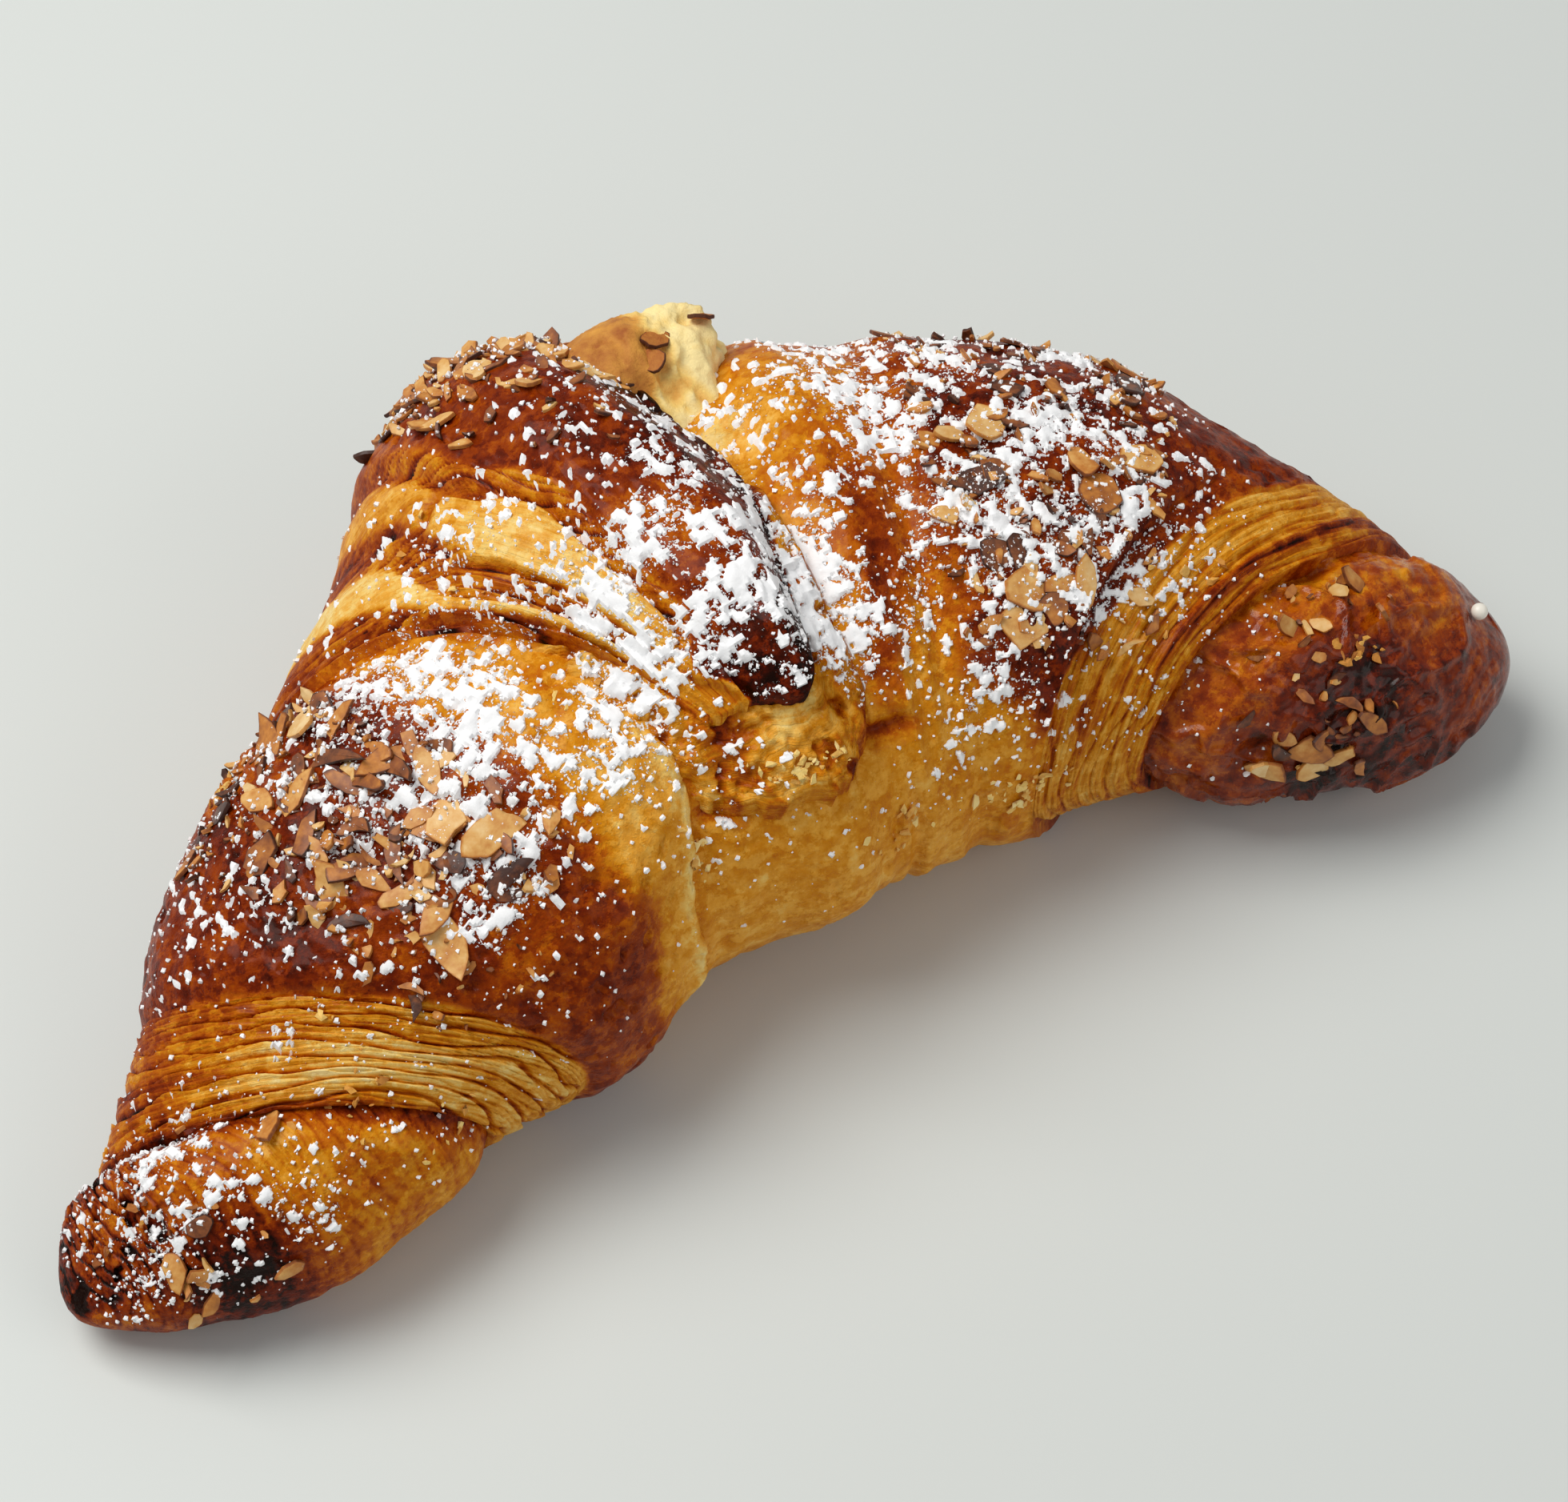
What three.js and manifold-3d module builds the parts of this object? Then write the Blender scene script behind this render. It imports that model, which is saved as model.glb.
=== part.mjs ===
// An almond croissant: a long roll bent into a crescent, wrapped in overlapping turns of pastry.
// Millimetres, +Z up. +X runs from the left-hand tip to the right-hand tip and +Y to the rounded
// back. The origin is under the middle of the croissant, on the surface that it rests on.
//
// A point of the roll is given by s, the share of its length from the left-hand tip (0) to the
// right-hand tip (1), and by an angle round it: 0 faces the hollow front, 90 is the top, 180 the
// back and 270 the foot. A turn of pastry stands a few millimetres off this roll.
import * as THREE from "three";
import Module from "manifold-3d";

const wasm = await Module();
wasm.setup();
const { abs, max, sin, cos, PI, hypot, floor, exp } = Math;
const { clamp, degToRad, lerp, smoothstep } = THREE.MathUtils;

// ---- The roll ----
const TIP = { x: -91.5, y: -33.4 }; // where the roll starts, at the left-hand tip
const LENGTH = 199; // along the middle of the roll
const HEADING = { tip: 10, left: 28, right: -37, hook: 18 }; // degrees from +X
const BEND = { from: 0.28, to: 0.86 }; // the stretch that turns from the left arm to the right
const TIP_BEND = 0.22;
const HOOK_BEND = 0.85;
const GIRTH = [
  // half width, height of the top, height of the foot, at even stations
  [8.5, 11.0, 1.5],
  [17.5, 25.5, 0.5],
  [25.0, 35.5, 0.0],
  [30.5, 44.0, 0.0],
  [38.0, 49.0, 0.0],
  [32.0, 45.0, 0.0],
  [25.5, 40.0, 0.0],
  [19.0, 31.5, 0.5],
  [12.0, 22.0, 3.0],
];
const WIDEST = 0.42; // share of the height at which the roll is widest
const SAG = 1.15; // how far the underside would reach below the foot if the table didn't flatten it
const ROUNDNESS = { top: 2.15, foot: 2.2 }; // superellipse powers of the section
const CAP = { left: 0.11, right: 0.1 }; // the stretch in which each tip closes
const CAP_POWER = { left: 2.3, right: 2.0 };

// ---- The turns of pastry, from the left-hand tip to the right-hand one ----
const LEFT_LAYERS = 7; // thin terraces of the left band
const CROWN_LAYERS = 4; // broad pale terraces below the crown
const RIGHT_LAYERS = 6; // thin terraces of the right band
const RISER = 0.35; // share of a thin terrace that its step takes
const BROAD_RISER = 0.25;
const SUNK = -8; // how deep the hidden side of a turn lies
const COLUMNS = 38; // points round a turn
// Heights of each turn's relief over the roll.
const LEFT_TIP = { base: -1.0, swell: 2.2, tuck: 2.4 };
const LEFT_TURN = { band: -1.9, layers: 1.7, crust: -0.2, lip: 0.6, swell: 2.2, fall: 1.6, lap: 3.0 };
const CROWN = { band: 0.2, layers: 3.2, crust: 3.4, lip: 0.5, swell: 2.2, rolledIn: 4.0, tongue: 1.5 };
const SHOULDER = { height: 4.5, s: 0.45, long: 0.05, degrees: 150, round: 45 }; // the crown's back
const TORN = { base: -3.4, swell: 4.0, from: 0.38, to: 0.56 };
const RIGHT_TURN = { valley: -1.5, dip: 1.0, hump: 3.8, lean: 0.8, swell: 2.0, fall: 1.2, layers: 1.8 };
const RIGHT_TIP = { base: -3.4, rise: 3.6 };

// ---- The almond flakes ----
const FLAKE_SIDES = 6;
const FLAKE_THICKNESS = 1.1;
const FLAKE_SEED = 2211;
const FLAKE_CORNER = { wander: 0.5, least: 0.8, spread: 0.35 }; // how uneven its corners are
const FLAKE_WIDTH = { least: 0.45, spread: 0.25, single: 0.6 }; // as shares of its length
const FLAKE_TILT = { least: 4, spread: 14 };
const FLAKE_SUNK = -0.35;
const SHRINK = 0.45; // how much shorter the last flake of a patch is than its first

// ---- The filling, which shows at the back between the crown and the right-hand hump ----
const FILLING_GAP = 0.45;
const FILLING_COLUMNS = 16;
const FILLING_HALF = { long: 11.5, wide: 8.5 };
const FILLING_SHARES = [0.004, 0.03, 0.08, 0.14, 0.22, 0.34, 0.48, 0.64, 0.8, 0.92, 0.99];
const SWELL = { share: 0.18, power: 2.2, taper: 0.45 }; // where the filling is thickest
const CLOSE = 0.15; // the share of its depth in which the hidden end closes

// ---- Curves along and round the roll ----
const girth = new THREE.CatmullRomCurve3(
  GIRTH.map(([half, top, foot]) => new THREE.Vector3(half, top, foot)),
  false,
  "catmullrom",
  0.5,
);

function heading(s) {
  const turn = (HEADING.left - HEADING.right) * smoothstep(s, BEND.from, BEND.to);
  const nose = (HEADING.left - HEADING.tip) * (1 - smoothstep(s, 0, TIP_BEND));
  const hook = HEADING.hook * smoothstep(s, HOOK_BEND, 1);
  return degToRad(HEADING.left - nose - turn + hook);
}

const SPINE_STEPS = 400;
const spineX = [TIP.x];
const spineY = [TIP.y];
for (let i = 0; i < SPINE_STEPS; i++) {
  const h = heading((i + 0.5) / SPINE_STEPS);
  spineX.push(spineX[i] + (cos(h) * LENGTH) / SPINE_STEPS);
  spineY.push(spineY[i] + (sin(h) * LENGTH) / SPINE_STEPS);
}

function spine(s) {
  const i = clamp(floor(s * SPINE_STEPS), 0, SPINE_STEPS - 1);
  const f = s * SPINE_STEPS - i;
  return { x: lerp(spineX[i], spineX[i + 1], f), y: lerp(spineY[i], spineY[i + 1], f) };
}

// 1 along the roll, falling to 0 at both tips.
function cap(s) {
  const a = clamp((CAP.left - s) / CAP.left, 0, 1);
  const b = clamp((s - 1 + CAP.right) / CAP.right, 0, 1);
  const left = (1 - a ** CAP_POWER.left) ** (1 / CAP_POWER.left);
  const right = (1 - b ** CAP_POWER.right) ** (1 / CAP_POWER.right);
  return left * right;
}

// The point at share s and angle degrees round the roll, `off` millimetres outside it.
function place(s, degrees, off) {
  const at = clamp(s, 0, 1);
  const { x: half, y: top, z: foot } = girth.getPoint(at);
  const middle = foot + (top - foot) * WIDEST;
  const c = cos(degToRad(degrees));
  const u = sin(degToRad(degrees));
  const power = u > 0 ? ROUNDNESS.top : ROUNDNESS.foot;
  const r = (abs(c) ** power + abs(u) ** power) ** (-1 / power);
  const across = half * c * r;
  const rise = (u > 0 ? top - middle : (middle - foot) * SAG) * u * r;
  const grow = cap(at) * (1 + off / hypot(across, rise));
  const h = heading(at);
  const { x, y } = spine(at);
  return new THREE.Vector3(
    x + sin(h) * across * grow,
    y - cos(h) * across * grow,
    max(middle + rise * grow, 0),
  );
}

// The point in the middle of the roll at share s.
function core(s) {
  const { y: top, z: foot } = girth.getPoint(clamp(s, 0, 1));
  const { x, y } = spine(clamp(s, 0, 1));
  return new THREE.Vector3(x, y, foot + (top - foot) * WIDEST);
}

// ---- Edges between the turns: share s for an angle ----
const edgeAt = (mid, front, top) => (degrees) =>
  mid + front * cos(degToRad(degrees)) + top * sin(degToRad(degrees));
const leftBandStart = edgeAt(0.13, 0.075, -0.022);
const leftCrustStart = edgeAt(0.197, 0.062, -0.018);
const crownBandStart = edgeAt(0.345, 0.06, 0.055);
const crownCrustStart = edgeAt(0.452, 0, 0);
const crownEnd = edgeAt(0.545, 0, 0);
const rightBandStart = edgeAt(0.79, -0.085, 0);
const rightTipStart = edgeAt(0.872, -0.085, 0);
// The left-hand turn laps over the belly at the front and runs on below the crown elsewhere.
const leftCrustEnd = (degrees) =>
  0.356 + 0.106 * smoothstep(degrees, 20, 62) * (1 - smoothstep(degrees, 280, 340));

// The crown's tongue: the angle at which its front edge lies, lowest in its middle.
const tongueEdge = (s) => 48 + 26 * clamp(abs(s - 0.46) / 0.085, 0, 1.4) ** 2;
// The torn layer that peeps out below the tongue.
const tornEdge = (s) => 37 + 22 * clamp(abs(s - 0.475) / 0.1, 0, 1.3) ** 4;

const share = (s, a, b) => clamp((s - a) / (b - a), 0, 1);
const arch = (t) => sin(PI * t);

// A flight of `count` steps from 0 to 1, each rising over the first `riser` of its tread.
function stair(t, count, riser) {
  const n = clamp(t, 0, 1) * count;
  return (floor(n) + clamp((n - floor(n)) / riser, 0, 1)) / count;
}

// ---- How far each turn stands off the roll ----
function leftTipOff(s, degrees) {
  const end = leftBandStart(degrees);
  const tuck = LEFT_TIP.tuck * smoothstep(s, end - 0.025, end + 0.01);
  return LEFT_TIP.base + LEFT_TIP.swell * arch(share(s, 0, end)) - tuck;
}

function leftTurnOff(s, degrees) {
  const { band, layers, crust, lip, swell, fall, lap } = LEFT_TURN;
  const start = leftCrustStart(degrees);
  const step = share(s, leftBandStart(degrees), start);
  if (s < start) return band + layers * stair(step, LEFT_LAYERS, RISER);
  const t = share(s, start, crownBandStart(degrees));
  const end = leftCrustEnd(degrees);
  const rise = lip * smoothstep(t, 0, 0.05) + swell * arch(t) ** 0.8;
  return crust + rise - fall * smoothstep(t, 0.7, 1) - lap * smoothstep(s, end - 0.09, end);
}

function crownOff(s, degrees) {
  const { band, layers, crust, lip, swell, rolledIn, tongue } = CROWN;
  const start = crownCrustStart(degrees);
  const along = (s - SHOULDER.s) / SHOULDER.long;
  const round = (degrees - SHOULDER.degrees) / SHOULDER.round;
  const shoulder = SHOULDER.height * exp(-(along ** 2) - round ** 2);
  const step = share(s, crownBandStart(degrees), start);
  if (s < start) return shoulder + band + layers * stair(step, CROWN_LAYERS, BROAD_RISER);
  const t = share(s, start, crownEnd(degrees));
  const edge = tongueEdge(s);
  const thinner = rolledIn * smoothstep(t, 0.55, 1) + tongue * (1 - smoothstep(degrees, edge, edge + 12));
  return shoulder + crust + lip * smoothstep(t, 0, 0.1) + swell * arch(t) - thinner;
}

function tornOff(s) {
  return TORN.base + TORN.swell * arch(share(s, TORN.from, TORN.to)) ** 0.5;
}

function rightTurnOff(s, degrees) {
  const { valley, dip, hump, lean, swell, fall, layers } = RIGHT_TURN;
  const start = rightBandStart(degrees);
  const step = 1 - share(s, start, rightTipStart(degrees));
  if (s >= start) return -layers * (1 - stair(step, RIGHT_LAYERS, RISER));
  const rise = (hump - lean * (1 + cos(degToRad(degrees)))) * smoothstep(s, 0.545, 0.6);
  const low = valley - dip * smoothstep(s, 0.42, 0.5) + rise;
  return low + swell * arch(share(s, 0.62, 0.85)) - fall * smoothstep(s, 0.75, 0.83);
}

function rightTipOff(s, degrees) {
  const start = rightTipStart(degrees);
  return RIGHT_TIP.base + RIGHT_TIP.rise * smoothstep(s, start - 0.01, start + 0.05);
}

// ---- Closed shells ----
// A solid from rings of points, each of the same count, closed by a pole at both ends.
function loft(first, rings, last) {
  const count = rings[0].length;
  const points = [first, ...rings.flat(), last];
  const faces = [];
  const at = (row, column) => 1 + row * count + (column % count);
  for (let c = 0; c < count; c++) {
    faces.push(0, at(0, c + 1), at(0, c));
    faces.push(points.length - 1, at(rings.length - 1, c), at(rings.length - 1, c + 1));
    for (let r = 0; r + 1 < rings.length; r++) {
      faces.push(at(r, c), at(r, c + 1), at(r + 1, c + 1));
      faces.push(at(r, c), at(r + 1, c + 1), at(r + 1, c));
    }
  }
  return solid(points.flatMap((p) => [p.x, p.y, p.z]), faces);
}

function solid(vertices, faces) {
  const made = new wasm.Manifold(
    new wasm.Mesh({
      numProp: 3,
      vertProperties: new Float32Array(vertices),
      triVerts: new Uint32Array(faces),
    }),
  );
  if (made.volume() > 0) return made;
  const turned = faces.map((_, i) => faces[i - (i % 3) + [0, 2, 1][i % 3]]);
  return solid(vertices, turned);
}

const even = (from, to, count) =>
  Array.from({ length: count }, (_, i) => lerp(from, to, (i + 0.5) / count));
const roundAngles = () => even(0, 360, COLUMNS).map((degrees) => ({ degrees, shown: true }));

// The angles of a turn that covers the roll only from its front edge to the angle `foot`.
function coverAngles(edge, foot, count) {
  const shown = Array.from({ length: count }, (_, i) => lerp(edge, foot, i / (count - 1)));
  const hidden = even(foot + 2, edge + 358, 7);
  return [
    ...shown.map((degrees) => ({ degrees, shown: true })),
    ...hidden.map((degrees) => ({ degrees, shown: false })),
  ];
}

// The angle at which a row meets an edge that is itself given by s.
const edgeOf = (edge, stop) => edge(stop(edge(stop(90))));

// One turn of pastry. Each stop is a function from an angle to the share s of a row, and `angles`
// gives the angles of a row from its stop.
function turn(stops, off, angles) {
  const ring = (stop, sunk) =>
    angles(stop).map(({ degrees, shown }) => {
      const s = stop(degrees);
      return place(s, degrees, shown && !sunk ? off(s, degrees) : SUNK);
    });
  const first = stops[0];
  const last = stops[stops.length - 1];
  const rows = stops.map((stop) => ring(stop, false));
  if (first(90) > CAP.left) rows.unshift(ring(first, true));
  if (last(90) < 1 - CAP.right) rows.push(ring(last, true));
  return loft(core(first(90)), rows, core(last(90)));
}

// `count` stops spread over the stretch between two edges, by the shares in `list`.
const between = (from, to, list) => list.map((t) => (degrees) => lerp(from(degrees), to(degrees), t));
const treads = (count, riser) =>
  Array.from({ length: count }, (_, k) => [k / count, (k + riser) / count]).flat();
const along = (count) => Array.from({ length: count }, (_, k) => k / count);
const fixed = (s) => () => s;

const leftTip = turn(
  [
    ...[0.002, 0.008, 0.02, 0.035].map(fixed),
    ...between(fixed(0.05), (d) => leftBandStart(d) + 0.03, [0, 0.25, 0.5, 0.75, 1]),
  ],
  leftTipOff,
  roundAngles,
);
const leftTurn = turn(
  [
    ...between(leftBandStart, leftCrustStart, treads(LEFT_LAYERS, RISER)),
    ...between(leftCrustStart, leftCrustEnd, [...along(8), 1]),
  ],
  leftTurnOff,
  roundAngles,
);
const crown = turn(
  [
    ...between(crownBandStart, crownCrustStart, treads(CROWN_LAYERS, BROAD_RISER)),
    ...between(crownCrustStart, crownEnd, [...along(5), 0.93, 1]),
  ],
  crownOff,
  (stop) => coverAngles(edgeOf(tongueEdge, stop), 258, 26),
);
const tornLayer = turn(
  between(fixed(0.385), fixed(0.553), [...along(8), 1]),
  tornOff,
  (stop) => coverAngles(edgeOf(tornEdge, stop), edgeOf(tornEdge, stop) + 45, 8),
);
const rightTurn = turn(
  [
    ...between(fixed(0.31), fixed(0.6), [...along(9)]),
    ...between(fixed(0.6), rightBandStart, along(6)),
    ...between(rightBandStart, rightTipStart, treads(RIGHT_LAYERS, 1 - RISER)),
    rightTipStart,
  ],
  rightTurnOff,
  roundAngles,
);
const rightTip = turn(
  [
    ...between((d) => rightTipStart(d) - 0.03, fixed(0.95), along(7)),
    ...[0.95, 0.965, 0.98, 0.99, 0.998].map(fixed),
  ],
  rightTipOff,
  roundAngles,
);

// ---- Almond flakes ----
// A repeatable stream of numbers from 0 to 1.
function numbers(seed) {
  let a = seed;
  return () => {
    a = (a + 0x6d2b79f5) | 0;
    let t = Math.imul(a ^ (a >>> 15), 1 | a);
    t = (t + Math.imul(t ^ (t >>> 7), 61 | t)) ^ t;
    return ((t ^ (t >>> 14)) >>> 0) / 4294967296;
  };
}

// The way a turn's surface runs at a point: along the roll, round it, and straight out.
const STRIDE = { s: 0.012, degrees: 4 };
function surface(off, s, degrees) {
  const height = off(s, degrees);
  const here = place(s, degrees, height);
  const alongRoll = place(s + STRIDE.s, degrees, height).sub(here).normalize();
  const round = place(s, degrees + STRIDE.degrees, height).sub(here).normalize();
  const out = alongRoll.clone().cross(round).normalize();
  return { here, alongRoll, out };
}

// A thin angular slice of almond, `turned` degrees from the roll's length and tilted by `tilt`.
function flake(ground, { length, width, turned, tilt, lift }, draw) {
  const outline = new THREE.Shape(
    Array.from({ length: FLAKE_SIDES }, (_, i) => {
      const a = ((i + FLAKE_CORNER.wander * (draw() - 0.5)) * 2 * PI) / FLAKE_SIDES;
      const r = FLAKE_CORNER.least + FLAKE_CORNER.spread * draw();
      return new THREE.Vector2((length / 2) * cos(a) * r, (width / 2) * sin(a) * r);
    }),
  );
  const slice = new THREE.ExtrudeGeometry(outline, { depth: FLAKE_THICKNESS, bevelEnabled: false });
  const side = ground.out.clone().cross(ground.alongRoll);
  const frame = new THREE.Matrix4().makeBasis(ground.alongRoll, side, ground.out);
  slice.translate(0, 0, lift);
  slice.rotateY(degToRad(tilt));
  slice.rotateZ(degToRad(turned));
  slice.applyMatrix4(frame);
  slice.translate(ground.here.x, ground.here.y, ground.here.z);
  return closed(slice);
}

// A closed three.js geometry as a solid.
function closed(geometry) {
  const corners = geometry.getAttribute("position");
  const seen = new Map();
  const vertices = [];
  const faces = [];
  for (let i = 0; i < corners.count; i++) {
    const point = [corners.getX(i), corners.getY(i), corners.getZ(i)];
    const key = point.map((v) => v.toFixed(4)).join();
    if (!seen.has(key)) {
      seen.set(key, seen.size);
      vertices.push(...point);
    }
    faces.push(seen.get(key));
  }
  return solid(vertices, faces);
}

// Where the flakes lie: shares of the roll, angles, how many, and the longest of them.
const PATCHES = [
  { off: leftTurnOff, s: [0.2, 0.315], degrees: [60, 145], count: 28, longest: 8.5 },
  { off: crownOff, s: [0.462, 0.522], degrees: [122, 158], count: 14, longest: 8 },
  { off: rightTurnOff, s: [0.65, 0.775], degrees: [50, 140], count: 22, longest: 8.5 },
  { off: rightTipOff, s: [0.855, 0.915], degrees: [4, 82], count: 8, longest: 7 },
  { off: leftTipOff, s: [0.05, 0.1], degrees: [8, 70], count: 5, longest: 6.5 },
];
// The flakes that stand out one by one.
const SINGLES = [
  { off: leftTipOff, s: 0.125, degrees: 70, length: 6.5, turned: 80, tilt: 40 },
  { off: leftTipOff, s: 0.1, degrees: 105, length: 4.5, turned: 60, tilt: 35 },
  { off: leftTurnOff, s: 0.3, degrees: 72, length: 9, turned: 20, tilt: 12 },
  { off: leftTurnOff, s: 0.242, degrees: 94, length: 8, turned: 75, tilt: 16 },
  { off: crownOff, s: 0.435, degrees: 154, length: 5.5, turned: 15, tilt: 45 },
  { off: crownOff, s: 0.48, degrees: 121, length: 6, turned: 40, tilt: 20 },
  { off: rightTurnOff, s: 0.682, degrees: 98, length: 7.5, turned: 50, tilt: 12 },
  { off: rightTipOff, s: 0.912, degrees: 72, length: 6.5, turned: 70, tilt: 35 },
  { off: rightTipOff, s: 0.85, degrees: 57, length: 5, turned: 10, tilt: 25 },
];

const patched = PATCHES.flatMap(({ off, s, degrees, count, longest }, patch) => {
  const draw = numbers(FLAKE_SEED + patch);
  return Array.from({ length: count }, (_, i) => {
    const ground = surface(off, lerp(...s, draw()), lerp(...degrees, draw()));
    const length = longest * (1 - (SHRINK * i) / count);
    const width = length * (FLAKE_WIDTH.least + FLAKE_WIDTH.spread * draw());
    const turned = 360 * draw();
    const tilt = FLAKE_TILT.least + FLAKE_TILT.spread * draw();
    return flake(ground, { length, width, turned, tilt, lift: FLAKE_SUNK }, draw);
  });
});
const drawSingle = numbers(FLAKE_SEED + PATCHES.length);
const singles = SINGLES.map(({ off, s, degrees, length, turned, tilt }) =>
  flake(
    surface(off, s, degrees),
    { length, width: FLAKE_WIDTH.single * length, turned, tilt, lift: FLAKE_SUNK },
    drawSingle,
  ),
);

// ---- The filling ----
// It runs from the opening at the back down into the roll, and is thickest where it swells out.
const mouth = place(0.537, 137, 6);
const inner = place(0.53, 110, -30);
const inward = inner.clone().sub(mouth).normalize();
const long = place(0.6, 137, 0).sub(place(0.5, 137, 0));
long.addScaledVector(inward, -long.dot(inward)).normalize();
const wide = inward.clone().cross(long);

// The filling's reach at share t of its depth, in the direction a round it.
function fillingReach(t, a) {
  const rounded = (1 - max(1 - t / SWELL.share, 0) ** SWELL.power) ** 0.5;
  const swell = t < SWELL.share ? rounded : 1 - SWELL.taper * smoothstep(t, 0.15, 1);
  const close = (1 - (max(t - 1 + CLOSE, 0) / CLOSE) ** 2) ** 0.5;
  const crumb = 1 + 0.07 * sin(3 * a + 9 * t) + 0.05 * sin(5 * a - 14 * t);
  return swell * close * crumb;
}

function filling(gap) {
  const depth = inner.distanceTo(mouth);
  const ring = (t) =>
    even(0, 360, FILLING_COLUMNS).map((degrees) => {
      const a = degToRad(degrees);
      const reach = fillingReach(t, a);
      return mouth
        .clone()
        .addScaledVector(inward, depth * t)
        .addScaledVector(long, (FILLING_HALF.long * reach + gap) * cos(a))
        .addScaledVector(wide, (FILLING_HALF.wide * reach + gap) * sin(a));
    });
  const start = mouth.clone().addScaledVector(inward, -gap);
  const end = inner.clone().addScaledVector(inward, gap);
  return loft(start, FILLING_SHARES.map(ring), end);
}

// Slices of almond with their brown skin on, caught in the filling: places along and across it.
const FILLING_FLAKES = [
  { along: 4.5, across: 1.0, length: 5.5, turned: 35, tilt: 50 },
  { along: -2.0, across: -1.5, length: 4.5, turned: 120, tilt: 35 },
  { along: -1.5, across: 3.0, length: 5.5, turned: 10, tilt: 20 },
];
const SLICE = { depth: 0.8, lift: -0.4, width: 0.65 }; // width as a share of the length
const drawFilling = numbers(FLAKE_SEED + PATCHES.length + 1);
const outward = inward.clone().negate();
const slices = FILLING_FLAKES.map(({ along: u, across: v, length, turned, tilt }) => {
  const here = mouth.clone().addScaledVector(long, u).addScaledVector(wide, v);
  here.addScaledVector(inward, SLICE.depth);
  const pose = { length, width: SLICE.width * length, turned, tilt, lift: SLICE.lift };
  return flake({ here, alongRoll: long, out: outward }, pose, drawFilling);
});

// ---- The whole ----
// The largest body of a solid: loose scraps go, and hollows that the joining sealed are filled.
const wholeOf = (made) => made.decompose().sort((a, b) => b.volume() - a.volume())[0];

const joined = (solids) => solids.reduce((sum, next) => sum.add(next));
const turns = [leftTip, leftTurn, crown, tornLayer, rightTurn, rightTip];
const pastry = joined([...turns, ...patched, ...singles]).subtract(filling(FILLING_GAP));

function mesh(name, made, look) {
  const { vertProperties, triVerts } = made.getMesh();
  const geometry = new THREE.BufferGeometry();
  geometry.setAttribute("position", new THREE.BufferAttribute(new Float32Array(vertProperties), 3));
  geometry.setIndex(new THREE.BufferAttribute(new Uint32Array(triVerts), 1));
  geometry.computeVertexNormals();
  const result = new THREE.Mesh(geometry, new THREE.MeshStandardMaterial(look));
  result.name = name;
  return result;
}

const CRUST_LOOK = { color: 0xb06a2a, roughness: 0.55, metalness: 0 };
const FILLING_LOOK = { color: 0xe8c878, roughness: 0.85, metalness: 0 };
const croissant = new THREE.Group();
croissant.name = "almond_croissant";
croissant.add(
  mesh("pastry", wholeOf(pastry), CRUST_LOOK),
  mesh("filling", wholeOf(joined([filling(0), ...slices])), FILLING_LOOK),
);

export default croissant;
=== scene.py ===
import math

import bpy
import numpy as np
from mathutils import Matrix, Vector


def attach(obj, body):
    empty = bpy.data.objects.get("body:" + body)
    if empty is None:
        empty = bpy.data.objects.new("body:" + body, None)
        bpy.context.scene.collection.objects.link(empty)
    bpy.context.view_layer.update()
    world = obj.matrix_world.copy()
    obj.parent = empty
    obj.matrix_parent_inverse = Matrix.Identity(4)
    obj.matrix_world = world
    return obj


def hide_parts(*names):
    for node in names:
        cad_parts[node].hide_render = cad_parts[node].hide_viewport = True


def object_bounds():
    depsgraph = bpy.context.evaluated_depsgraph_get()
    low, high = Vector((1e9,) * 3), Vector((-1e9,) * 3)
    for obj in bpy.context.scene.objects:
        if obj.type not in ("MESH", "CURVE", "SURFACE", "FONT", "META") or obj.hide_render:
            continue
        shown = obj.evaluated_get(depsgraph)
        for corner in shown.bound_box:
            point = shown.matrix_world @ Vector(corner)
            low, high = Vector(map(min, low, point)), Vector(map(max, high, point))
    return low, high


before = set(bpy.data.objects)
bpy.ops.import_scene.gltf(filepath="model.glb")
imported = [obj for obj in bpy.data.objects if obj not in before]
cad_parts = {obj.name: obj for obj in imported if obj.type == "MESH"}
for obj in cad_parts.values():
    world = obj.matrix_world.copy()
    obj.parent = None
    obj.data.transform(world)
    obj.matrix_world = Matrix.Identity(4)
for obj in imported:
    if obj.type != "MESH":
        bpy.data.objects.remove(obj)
CAD_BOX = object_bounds()

bl_info = {
    "name": "Almond Croissant",
    "version": (1, 0, 0),
    "blender": (4, 5, 0),
    "location": "View3D > Sidebar > Croissant",
    "description": "Models a baked almond croissant with its flakes, filling and icing sugar over its solids",
    "category": "Add Mesh",
}

# Lengths are in millimetres and angles in degrees up to the moment a mesh is written, in metres.
# A point of the roll is given by s, its share of the length from the left-hand tip, and by an angle
# round it: 0 faces the hollow front, 90 is the top, 180 the back and 270 the foot.
MM = 0.001

# ---- The roll ----
TIP = (-91.5, -33.4)  # where the left-hand tip of its middle line lies
LENGTH = 199.0
# which way the middle line heads at the left-hand tip and on both arms, and how far its end turns back;
# then the shares between which it bends, and where the tip's bend ends and the hook's begins
HEADING = {"tip": 10, "left": 28, "right": -37, "hook": 18}
BEND = (0.28, 0.86)
TIP_BEND = 0.22
HOOK_BEND = 0.85
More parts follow.
